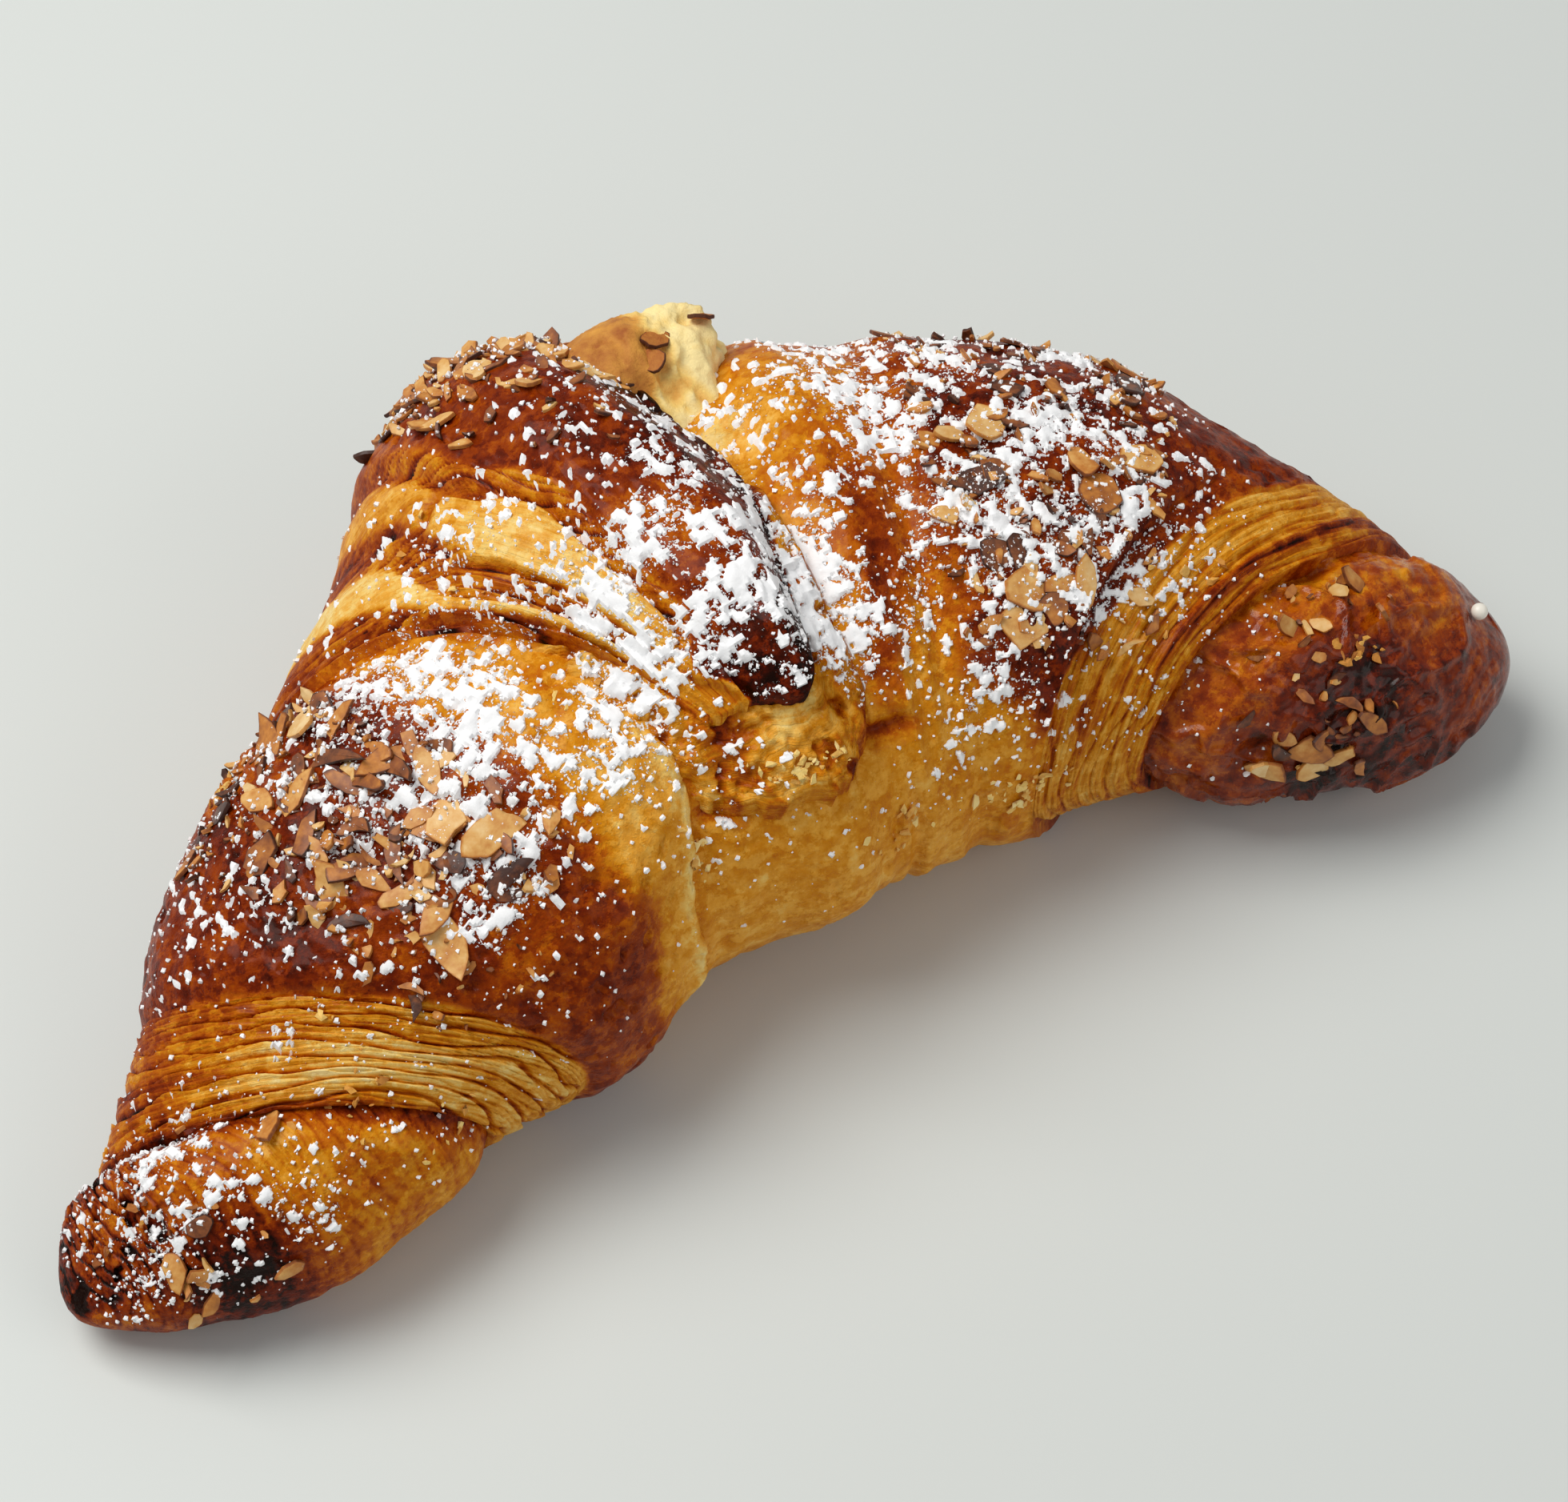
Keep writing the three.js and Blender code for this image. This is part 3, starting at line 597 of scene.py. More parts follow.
def right_turn_skin(s, d, q):
    start, tip = right_band_start(d), right_tip_start(d)
    across = (s - start) * LENGTH + 0.9 * grain_of(q / 11, 161)
    begun = start + 0.02 * smooth(d, 30, 70)
    on_band = smooth(s, begun - 0.004, begun + 0.002)
    height, brown = band_relief(across, d, 2.6, 0.34, 170)
    height = height + 0.20 * strands(across, d, 0.7, 175, 9.0)
    t = share(s, start, tip)
    rolled = bell(t, 0.80, 0.08) * smooth(d, 26, 50)
    # the last share of the band, in the crease by the tip, is darkened as painted shade
    band_bake_and_shade = 0.42 + 0.45 * brown - 0.10 * bell(t, 0.42, 0.16) + 0.30 * rolled + 0.2 * smooth(t, 0.93, 1)
    band_bake_and_shade = band_bake_and_shade - 0.13 * strands(across, d, 0.6, 177) - 0.08 * strands(across, d, 2.0, 179, 14.0)
    height = height + 0.8 * rolled * (1 - smooth(d, 100, 130))
    wander = s + 0.012 * rough(q, 8, 3, 181)
    dark = smooth(wander, dark_start(d) - 0.018, dark_start(d) + 0.02) * (1 - smooth(d, 150, 200))
    belly = 1 - smooth(d, 30, 60)
    golden = 0.47 + 0.08 * rough(q, 9, 3, 191) - 0.09 * belly - 0.04 * veins(q, 8, 197) * belly
    golden = golden + 0.10 * smooth(s, 0.6, 0.63) * (1 - belly)
    hump = smooth(d, 50, 60) * (1 - smooth(d, 68, 80))
    # painted shade: the crease at the hump's foot is sunk and darkened
    shaded_fissure = bell(s, hump_crease(d) + 0.007 * rough(q, 5, 3, 199), 0.008) * hump
    # painted shadow: a sunk, darkened line on the belly just under the torn layer's lip
    lip = np.minimum(torn_edge(s), 42) - 1.5 - 3 * smooth(s, 0.5, 0.56)
    shaded_groove_under_lip = bell(d, lip, 2.2) * smooth(s, 0.385, 0.4)
    shaded_groove_under_lip = shaded_groove_under_lip * (1 - smooth(s, 0.57, 0.61))
    crumb = spot(q, 0.551, 111, 6.5)
    bake_and_painted_light = lerp(golden, 0.79 + 0.09 * rough(q, 7, 3, 193), dark) + 0.06 * shaded_fissure + 0.36 * shaded_groove_under_lip
    bake_and_painted_light = lerp(bake_and_painted_light, 0.16 + 0.2 * rough(q, 2.4, 3, 207), crumb)
    browned = bell(s, hump_crease(d) + 0.008 + 0.006 * rough(q, 6, 3, 189), 0.015)
    bake_and_painted_light = bake_and_painted_light + 0.22 * browned * smooth(d, 36, 48) * (1 - smooth(d, 80, 105))
    folds = 0.9 * strands(s * LENGTH, d, 5.0, 195, 26.0) * (1 - dark)
    relief = crust_relief(q, s * LENGTH, d, 201) * (0.5 + 0.5 * dark) + folds - 0.3 * shaded_fissure
    relief = relief - 1.5 * shaded_groove_under_lip + crumb * (1.2 * rough(q, 2.4, 3, 209) - 1.2)
    bake_and_painted_light = lerp(bake_and_painted_light, band_bake_and_shade, on_band) + 0.12 * smooth(d, 170, 220)
    gloss = lerp(0.5 + 0.3 * dark, 0.35, on_band)
    return lerp(relief, height, on_band), bake_and_painted_light, gloss, across


def right_tip_skin(s, d, q):
    across = (s - right_tip_start(d)) * LENGTH + 2.5 * grain_of(q / 7, 211)
    bent = q + 3 * grain_of(q / 9, 233)[..., None]
    lumps = 0.95 * rough(q, 6.0, 4, 221) + 0.9 * (veins(bent, 6.5, 231) - 0.5)
    wrinkles = 0.2 * strands(across, d, 1.7, 241, 8.0)
    bake_and_painted_light = 0.69 + 0.09 * rough(q, 5, 3, 251) + spots(q, RIGHT_TIP_PATCHES_AND_SHEEN) - 0.06 * veins(q, 7, 255)
    # the top of the tip is made paler as painted sheen
    bake_and_painted_light = bake_and_painted_light + 0.10 * smooth(s, 0.93, 0.98) - 0.06 * smooth(d, 55, 80)
    bake_and_painted_light = bake_and_painted_light - 0.05 * strands(across, d, 1.5, 243, 7.0)
    return lumps + wrinkles, bake_and_painted_light, 1.0 + 0 * s, across


NEAR_TIP = 0.0015  # share of the length at which the first and last rows lie
COAT = 0.1  # how strong the glaze is on a turn that has no coat of its own
# Each turn: stretches of rows as (edge, edge, rows), columns, form, skin, and for a turn that covers
# the roll only in part, the angles of its edges.
TURNS = {
    "left_tip": {
        "rows": [(fixed(NEAR_TIP), fixed(0.05), 56), (fixed(0.05), lambda d: left_band_start(d) + 0.03, 96)],
        "columns": 240,
        "off": left_tip_off,
        "skin": left_tip_skin,
    },
    "left_turn": {
        "rows": [(left_band_start, left_crust_start, 96), (left_crust_start, left_crust_end, 160)],
        "columns": 270,
        "off": left_turn_off,
        "skin": left_turn_skin,
    },
    "crown": {
        "rows": [(crown_band_start, crown_crust_start, 110), (crown_crust_start, crown_end, 100)],
        "columns": 260,
        "off": crown_off,
        "skin": crown_skin,
        "cover": (tongue_edge, lambda s: FOOT + 0 * s),
    },
    "torn_layer": {
        "rows": [(fixed(0.385), fixed(0.553), 150)],
        "columns": 90,
        "off": torn_off,
        "skin": torn_skin,
        "cover": (torn_edge, lambda s: torn_edge(s) + TORN["round"]),
    },
    "right_turn": {
        "rows": [
            (fixed(0.31), fixed(0.45), 30),
            (fixed(0.45), fixed(0.62), 110),
            (fixed(0.62), right_band_start, 90),
            (right_band_start, right_tip_start, 96),
        ],
        "columns": 250,
        "off": right_turn_off,
        "skin": right_turn_skin,
    },
    "right_tip": {
        "rows": [
            (lambda d: right_tip_start(d) - 0.03, fixed(0.95), 110),
            (fixed(0.95), fixed(1 - NEAR_TIP), 56),
        ],
        "columns": 230,
        "off": right_tip_off,
        "skin": right_tip_skin,
        "coat": 0.4,
    },
}
HIDDEN_COLUMNS = 7  # of a cover, on the side that lies inside the roll
TUCK = 2  # degrees between a cover's two edges and its hidden side
IN_VIEW = (-12, 190)  # the angles at which the columns are closer together, by this factor:
CLOSER = 2.2
STANDING = (-2.5, 0.45, 0.25)  # least and most fine relief, and the share of its height added to the most
TIP_FADE = (0.15, 0.6)  # of the tips' closing curve, where the fine relief begins and is full
TOP_EASE = (53.0, 54.7)  # pastry above the first height is eased down, and stays below the second
MARGIN = 0.01  # how far every point stays inside the box of the solids


def under_top(points):
    """Eases the highest pastry down a little, to leave room for the sugar on it."""
    low, high = TOP_EASE
    over = np.maximum(points[..., 2] - low, 0)
    points[..., 2] = np.minimum(points[..., 2], low) + (high - low) * (1 - np.exp(-over / (high - low)))
    return points


def in_box(points):
    """Keeps points inside the box of the solids."""
    low, high = (np.array(corner) / MM for corner in CAD_BOX)
    return np.clip(points, low + MARGIN, high - MARGIN)


def standing(height, s):
    """Fine relief that stands little over the solid and fades out at the tips."""
    lowest, highest, over = STANDING
    held = np.clip(height, lowest, highest + over * np.maximum(height, 0))
    return held * share(cap(s), *TIP_FADE)


def skin_at(turn, s, d):
    """Points of a turn's surface with its fine relief, its browning with painted shade and highlights, its
    gloss and its layers' run.
    """
    q = place(s, d, 0)
    height, bake_and_painted_light, gloss, across = turn["skin"](s, round_half(d), q)
    off = turn["off"](s, round_half(d)) + standing(height, s)
    return under_top(place(s, d, off)), bake_and_painted_light, gloss, across


def stretched_rows(turn, d):
    """Share s of every row at the angles d, one row of the result for each row of the turn."""
    rows = []
    for start, end, count in turn["rows"]:
        low, high = start(d), end(d)
        rows += [lerp(low, high, k / count) for k in range(count)]
    return np.array(rows + [turn["rows"][-1][1](d)])


def columns_between(low, high, count):
    """Angles from low to high, closer together at the top and sides of the roll than at its foot."""
    marks = np.array([low, max(low, IN_VIEW[0]), max(min(high, IN_VIEW[1]), low), high])
    way = np.concatenate([[0], np.cumsum(np.diff(marks) * [1, CLOSER, 1])])
    return np.interp(np.linspace(0, way[-1], count), way, marks)


def cover_angles(turn):
    """Angles round a turn that covers the roll from one edge to another: first those that show."""
    front, foot = turn["cover"]
    middle = stretched_rows(turn, np.array([90.0]))[:, 0]
    edge = front(middle)
    for _ in range(3):
        edge = front(np.array([stretched_rows(turn, np.array([e]))[i, 0] for i, e in enumerate(edge)]))
    far = foot(middle)
    t = share(columns_between(edge.min(), far.max(), turn["columns"]), edge.min(), far.max())
    shown = edge[:, None] + (far - edge)[:, None] * t[None, :]
    u = (np.arange(HIDDEN_COLUMNS) + 0.5) / HIDDEN_COLUMNS
    hidden = (far + TUCK)[:, None] + (edge + 360 - 2 * TUCK - far)[:, None] * u[None, :]
    return np.hstack([shown, hidden, edge[:, None] + 360])


def turn_grid(turn):
    """Shares and angles of all rows and columns of a turn, and where it is sunk into the roll."""
    if "cover" in turn:
        d = cover_angles(turn)
        s = np.array([stretched_rows(turn, row)[i] for i, row in enumerate(d)])
        sunk = np.zeros(d.shape, bool)
        sunk[:, turn["columns"] : -1] = True
        return s, d, sunk
    d = columns_between(-90, 270, turn["columns"] + 1)
    s = stretched_rows(turn, d)
    return s, np.broadcast_to(d, s.shape).copy(), np.zeros(s.shape, bool)


# ---- The outermost turn at each place of the roll ----
def turn_offs(s, d):
    """How far each turn stands off the roll at the places given, far inside where it isn't."""
    offs = []
    for turn in TURNS.values():
        inside = (s >= turn["rows"][0][0](d)) & (s <= turn["rows"][-1][1](d))
        if "cover" in turn:
            front, foot = turn["cover"]
            inside &= (d >= front(s)) & (d <= foot(s))
        offs.append(np.where(inside, turn["off"](s, d), SUNK))
    return np.array(offs)


def outer_skin(s, d):
    """The number of the outermost turn at each place, its offset and the height of its fine relief."""
    offs = turn_offs(s, d)
    top = offs.argmax(0)
    off = offs.max(0)
    q = place(s, d, 0)
    relief = np.zeros(s.shape)
    for number, turn in enumerate(TURNS.values()):
        here = top == number
        if here.any():
            height = turn["skin"](s[here], d[here], q[here])[0]
            relief[here] = standing(height, s[here])
    return top, off, relief


# ---- Modelling helpers ----
WELD = 1e-6  # metres: points closer than this become one
SHARP = 32  # degrees: an edge that turns by more stays sharp


def deselect():
    if bpy.context.object and bpy.context.object.mode != "OBJECT":
        bpy.ops.object.mode_set(mode="OBJECT")
    bpy.ops.object.select_all(action="DESELECT")


def put_attribute(mesh, name, values):
    kind = "FLOAT_VECTOR" if values.ndim == 2 else "FLOAT"
    layer = mesh.attributes.new(name, kind, "POINT")
    layer.data.foreach_set("vector" if kind == "FLOAT_VECTOR" else "value", values.astype(np.float32).ravel())


def rolled_sheet(name, points, attributes):
    """A flat grid laid over rows and columns of points, in millimetres."""
    rows, columns = points.shape[:2]
    deselect()
    bpy.ops.mesh.primitive_grid_add(x_subdivisions=columns - 1, y_subdivisions=rows - 1, size=1)
    sheet = bpy.context.object
    sheet.name = sheet.data.name = name
    if len(sheet.data.vertices) != rows * columns:
        raise RuntimeError(f"{name}: the grid has {len(sheet.data.vertices)} points, not {rows * columns}")
    sheet.data.vertices.foreach_set("co", (points * MM).astype(np.float32).ravel())
    for label, values in attributes.items():
        flat = values.reshape(-1, 3) if values.ndim == 3 else values.ravel()
        put_attribute(sheet.data, label, flat)
    return sheet


def close_up(sheet):
    """Welds the seams and poles of a rolled sheet and turns its faces outwards."""
    bpy.ops.object.mode_set(mode="EDIT")
    bpy.ops.mesh.select_all(action="SELECT")
    bpy.ops.mesh.remove_doubles(threshold=WELD)
    bpy.ops.mesh.normals_make_consistent(inside=False)
    bpy.ops.object.mode_set(mode="OBJECT")
    bpy.ops.object.shade_smooth()
    return sheet


def finish_piece(piece, material, slot, *nodes):
    """Gives a piece its material and its body, and hides the solids that it stands for; the slot is not used.
    """
    piece.data.materials.clear()
    piece.data.materials.append(material)
    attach(piece, "root")
    if nodes:
        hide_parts(*nodes)
    return piece


def grain_run(across, d):
    """The layers' own coordinates: millimetres across them, and a ring round the roll along them."""
    return np.stack([across, *around_roll(d)], -1)


def end_rings(s, d, tip):
    """Rings that close a turn's end, from the outside in: the roll's own tip, or a hidden way to its core."""
    if cap(s).min() < 0.5:
        return [np.broadcast_to(place(tip, 0, 0), (len(s), 3))]
    ring = place(s, d, SUNK)
    ring[-1] = ring[0]
    return [ring, np.broadcast_to(core(np.median(s)), ring.shape)]


def model_turn(name):
    """Models one turn of pastry as a closed sheet and has it stand for the solid."""
    turn = TURNS[name]
    s, d, sunk = turn_grid(turn)
    points, bake_and_painted_light, gloss, across = skin_at(turn, s, d)
    points = np.where(sunk[..., None], place(s, d, SUNK), points)
    points[:, -1] = points[:, 0]
    before = end_rings(s[0], d[0], 0)[::-1]
    after = end_rings(s[-1], d[-1], 1)
    grown = np.concatenate([np.array(before), points, np.array(after)])

    def padded(values):
        return np.concatenate([values[:1]] * len(before) + [values] + [values[-1:]] * len(after))

    values = {
        "bake_and_painted_light": bake_and_painted_light,
        "gloss": gloss,
        "dust": sugar_dust(points, up_share(points)),
        "grain": grain_run(across, d),
    }
    values = {label: padded(value) for label, value in values.items()}
    sheet = close_up(rolled_sheet(name, in_box(grown), values))
    return finish_piece(sheet, pastry_material(name, turn.get("coat", COAT)), "crust", "pastry")


# ---- Icing sugar ----
# Where it fell: share of the roll, angle, radius of the patch in millimetres and how much it covers.
# Below 0, the place is kept clear.
SUGAR_FALL = [
    (0.030, 70, 5, 0.32), (0.045, 100, 5, 0.22), (0.060, 62, 6, 0.40), (0.068, 84, 5, 0.55),
    (0.075, 45, 5, 0.50), (0.095, 70, 6, 0.38), (0.115, 40, 6, 0.25), (0.165, 85, 4, 0.16),
    (0.220, 110, 10, 0.16), (0.250, 92, 11, 0.20), (0.225, 128, 8, 0.22), (0.290, 112, 10, 0.20),
    (0.310, 96, 9, 0.28), (0.330, 86, 9, 0.28), (0.345, 102, 9, 0.30), (0.362, 80, 9, 0.30),
    (0.380, 68, 7, 0.45), (0.395, 60, 6, 0.50), (0.268, 60, 3.2, 0.80), (0.257, 52, 5, 0.14),
    (0.300, 66, 6, 0.28), (0.345, 115, 8, 0.24), (0.430, 88, 7, 0.45), (0.440, 80, 6, 0.50),
    (0.410, 75, 6, 0.50), (0.425, 102, 6, 0.35), (0.408, 112, 6, 0.22), (0.500, 106, 8, 0.55),
    (0.520, 96, 8, 0.55), (0.500, 82, 8, 0.68), (0.492, 70, 8, 0.85), (0.490, 62, 7, 0.95),
    (0.465, 86, 6, 0.45), (0.470, 102, 6, 0.30), (0.500, 124, 6, 0.25), (0.545, 98, 5, 0.75),
    (0.562, 84, 6, 0.70), (0.566, 74, 6, 0.65), (0.570, 100, 8, 0.36), (0.555, 66, 7, 0.50),
    (0.590, 112, 11, 0.20), (0.600, 91, 10, 0.18), (0.580, 62, 7, 0.24), (0.570, 54, 6, 0.42),
    (0.605, 128, 8, 0.28), (0.640, 106, 10, 0.30), (0.670, 112, 10, 0.26), (0.700, 100, 13, 0.26),
    (0.740, 95, 12, 0.24), (0.760, 76, 9, 0.28), (0.720, 70, 9, 0.28), (0.690, 60, 8, 0.30),
    (0.660, 82, 8, 0.24), (0.780, 116, 8, 0.36), (0.720, 126, 8, 0.34), (0.680, 126, 8, 0.34),
    (0.680, 34, 8, 0.28), (0.780, 45, 8, 0.12), (0.740, 12, 6, 0.18), (0.398, 37, 3.2, 0.80),
    (0.450, 46, 6, 0.06), (0.480, 42, 6, 0.08), (0.530, 46, 6, 0.16), (0.410, 58, 4, 0.60),
    (0.500, 33, 5, 0.08), (0.642, 92, 6, 0.26), (0.548, 106, 4, 0.50),
    (0.395, 130, 5, 0.12), (0.425, 122, 4, 0.16), (0.470, 94, 5, 0.30),
    (0.700, 80, 14, 0.12), (0.510, 60, 5, 0.40), (0.596, 76, 3, -1.0), (0.588, 65, 3, -1.0),
    (0.575, 54, 3, -1.0), (0.573, 79, 5, 0.60), (0.638, 80, 5, 0.50), (0.430, 112, 4, 0.50),
    (0.550, 114, 3, 0.50), (0.499, 62, 3.5, 1.3), (0.485, 64, 3.5, 1.2), (0.474, 66, 4, 0.90),
    (0.486, 54, 3.0, -1.3), (0.502, 53, 3.0, -1.3), (0.470, 54, 3.0, -1.3), (0.510, 41, 5, -0.8),
]
SUGAR_EVERYWHERE = 0.008  # share covered where no patch lies
SUGAR_AMOUNT = 0.7  # strength of all the patches
SUGAR_GRID = 0.28
SUGAR_RADIUS = 30.0  # of the roll, where the grid is as fine round it as along it
SUGAR_AREA = {"s": (0.012, 0.86), "degrees": (-5, 186)}
SUGAR_ENDS = (58, 66)  # the way to the right over which it comes to an end
SUGAR_MOST = 0.97  # highest share covered
STEEP = (0.12, 0.55)  # how far up a slope must face to hold any sugar, and to hold it all
DRIFTS = {"size": 6.5, "strength": 1.1, "range": (0.25, 1.8)}  # noise that makes the cover uneven
SUGAR_THICK = 0.5
SUGAR_SUNK = 0.3
SUGAR_SEED = 401
CLUMP = 1.45  # size of the cells that hold one clump each
SMALL_CLUMP = 0.45  # of CLUMP
CLUMP_EDGE = 0.35  # share of its thickness that a clump has right at its edge
CLUMP_ROUND = 0.25  # rise of the clumps' field over which it thickens
THINNEST = 0.04  # cells of the grid with less sugar than this are left out
STEPPED = 0.9  # a step in the ground that no clump lies across
GRAINS = 5200
GRAIN_SIZES = (0.1, 0.36)
FLAKE_GRAIN_SIZES = (0.12, 0.42)
FLAKE_GRAINS = 0.9  # for each millimetre of a flake's length
FLAKE_SUGAR = (0.6, 0.4)  # of a flake's length, along and across, over which its grains lie


def up_share(points):
    """How far a grid of points faces up, from 0 on a wall to 1 on a flat top."""
    a = np.gradient(points, axis=0)
    b = np.gradient(points, axis=1)
    n = np.cross(a, b)
    length = np.linalg.norm(n, axis=-1)
    return smooth(np.abs(n[..., 2]) / np.maximum(length, 1e-9), *STEEP)


def sugar_share(points, facing):
    """The share of the surface that icing sugar covers, from 0 to 1."""
    bare = 1 - SUGAR_EVERYWHERE * np.ones(points.shape[:-1])
    for s, d, radius, amount in SUGAR_FALL:
        bare = bare * (1 - SUGAR_AMOUNT * amount * spot(points, s, d, radius))
    clear_tip = 1 - smooth(points[..., 0], *SUGAR_ENDS)
    uneven = 1 + DRIFTS["strength"] * rough(points, DRIFTS["size"], 2, SUGAR_SEED + 30)
    return np.clip((1 - bare) * facing * clear_tip * np.clip(uneven, *DRIFTS["range"]), 0, SUGAR_MOST)


def clump_field(points):
    """A field whose highest parts have the shape of clumps of sugar."""
    large = blobs(points, CLUMP, SUGAR_SEED)
    small = blobs(points, SMALL_CLUMP * CLUMP, SUGAR_SEED + 5)
    return np.maximum(large, small - 0.05) + 0.5 * rough(points, 0.9, 2, SUGAR_SEED + 12, 0.7)


# the level of the field below which each share of space lies, measured on a sparse block of points
CLUMP_SHARES = np.linspace(0, 1, 201)
CLUMP_LEVELS = np.quantile(clump_field(np.stack(np.mgrid[:36, :36, :36], -1) * 1.37), CLUMP_SHARES)


def over_clumps(points, covered):
    """How far the field stands over the level that leaves just the wanted share covered."""
    return clump_field(points) - np.interp(1 - covered, CLUMP_SHARES, CLUMP_LEVELS)


def sugar_dust(points, facing):
    """How thick the dust lies on the pastry: thickest close to the clumps."""
    covered = sugar_share(points, facing)
    near = smooth(over_clumps(points, covered), -0.8, 0.0) * np.minimum(covered * 5, 1)
    return np.clip(0.65 * covered + 0.3 * near, 0, 1)


def sugar_ground():
    """A fine grid over the top of the roll: shares, angles, the outermost turn and how far it stands off."""
    s, d = np.meshgrid(
        np.arange(*SUGAR_AREA["s"], SUGAR_GRID / LENGTH),
        np.arange(*SUGAR_AREA["degrees"], math.degrees(SUGAR_GRID / SUGAR_RADIUS)),
        indexing="ij",
    )
    top, off, relief = outer_skin(s, d)
    return s, d, top, off + relief


def sugar_height(points, covered):
    """Clumps of sugar on a grid of points: above 0 where they cover it."""
    above = over_clumps(points, covered)
    inner = 1 - np.exp(-np.maximum(above, 0) / CLUMP_ROUND)
    clump = SUGAR_THICK * (CLUMP_EDGE * (above > 0) + (1 - CLUMP_EDGE) * inner)
    grains = 0.1 * grain_of(points / 0.45, SUGAR_SEED + 10) * (above > 0)
    return np.maximum(clump + grains + 1.5 * np.minimum(above, 0), -SUGAR_SUNK)


def sugar_shell(s, d, top, ground, height):
    """The clumps as one closed shell: a top, and a bottom sunk into the pastry."""
    steps = np.abs(np.diff(ground, axis=0))[:, :-1] + np.abs(np.diff(ground, axis=1))[:-1]
    same = (top[1:, 1:] == top[:-1, :-1]) & (top[1:, :-1] == top[:-1, 1:]) & (top[1:, 1:] == top[1:, :-1])
    highest = np.maximum.reduce([height[1:, 1:], height[1:, :-1], height[:-1, 1:], height[:-1, :-1]])
    kept = (highest > THINNEST) & same & (steps < STEPPED)
    around = np.pad(kept, 1)
    full = around[1:, 1:] & around[1:, :-1] & around[:-1, 1:] & around[:-1, :-1]
    base = place(s, d, ground)
    shown_base = under_top(base.copy())
    thick = np.where(full, height, -SUGAR_SUNK)
    upper = (shown_base + place(s, d, ground + thick) - base).reshape(-1, 3)
    lower = (shown_base + place(s, d, ground - SUGAR_SUNK) - base).reshape(-1, 3)
    i, j = np.nonzero(kept)
    row = s.shape[1]
    quads = np.stack([i * row + j, (i + 1) * row + j, (i + 1) * row + j + 1, i * row + j + 1], 1)
    under = np.where(full.ravel(), np.arange(s.size) + s.size, np.arange(s.size))
    used, faces = np.unique(np.vstack([quads, under[quads[:, ::-1]]]), return_inverse=True)
    return np.concatenate([upper, lower])[used], faces.reshape(-1, 4)


def model_clumps():
    """Models the clumps; returns their ground and how much of it is covered, for the loose grains."""
    s, d, top, ground = sugar_ground()
    surface = under_top(place(s, d, ground))
    covered = sugar_share(surface, up_share(surface))
    points, faces = sugar_shell(s, d, top, ground, sugar_height(surface, covered))
    mesh = bpy.data.meshes.new("sugar_clumps")
    mesh.from_pydata((in_box(points) * MM).tolist(), [], faces.tolist())
    finish_piece(shown("sugar_clumps", mesh), sugar_material(), "sugar")
    return surface, covered


def model_grains(surface, covered):
    """Models loose grains where there is sugar, and more of them on the flakes."""
    grains = Heap(segments=4, rings=2)
    draw = numbers(SUGAR_SEED + 20)

    def add_grain(middle, size):
        spread = np.array([[next(draw) for _ in range(3)] for _ in range(len(grains.pattern))]) - 0.5
        grains.add(middle + size * (grains.pattern + 0.7 * spread))

    likely = np.cumsum((covered + 0.05 * (covered > 0)).ravel())
    for _ in range(GRAINS):
        at = np.searchsorted(likely, next(draw) * likely[-1])
        size = lerp(*GRAIN_SIZES, next(draw) ** 2)
        add_grain(surface.reshape(-1, 3)[at] + [0, 0, 0.35 * size], size)
    for middle, basis, length in flake_tops:
        for _ in range(int(length * FLAKE_GRAINS)):
            size = lerp(*FLAKE_GRAIN_SIZES, next(draw) ** 2)
            along, across = ((next(draw) - 0.5) * part * length for part in FLAKE_SUGAR)
            add_grain(middle + along * basis[0] + across * basis[1], size)
    return finish_piece(join_heaps("sugar_grains", [grains]), sugar_material(), "sugar")


# ---- Almond flakes ----
STRIDE = {"s": 0.012, "degrees": 4}  # steps over which the slope of the ground is taken
FLAKE_SEED = 2211
FLAKE_CORNERS = 8
FLAKE_THICK = 0.5
FLAKE_SUNK = -0.12
FLAKE_CURL = 0.14  # of its length
FLAKE_BOW = 0.16  # of its length, if it is narrow
NARROW = 2.5  # a narrow flake's length in widths, or more
SUGARED = {"degrees": (40, 150), "s": 0.84}  # angles and largest share at which flakes hold grains
# turn, shares, angles, how many, longest, turned, width to length, tilt, toasting: flakes in their patches
FLAKE_PATCHES = [
    ("left_turn", (0.215, 0.315), (62, 145), 32, 8.5, (0, 360), (0.26, 0.62), (2, 28), (0.25, 1.0)),
    ("crown", (0.445, 0.522), (126, 172), 56, 6.2, (-130, -50), (0.24, 0.52), (4, 42), (0.08, 0.7)),
    ("right_turn", (0.65, 0.775), (50, 140), 19, 7.2, (0, 360), (0.45, 0.8), (2, 14), (0.25, 0.95)),
    ("right_tip", (0.855, 0.915), (4, 82), 9, 6.0, (0, 360), (0.35, 0.7), (6, 34), (0.2, 0.8)),
    ("left_tip", (0.05, 0.1), (8, 70), 5, 5.0, (0, 360), (0.3, 0.6), (4, 26), (0.35, 0.9)),
]
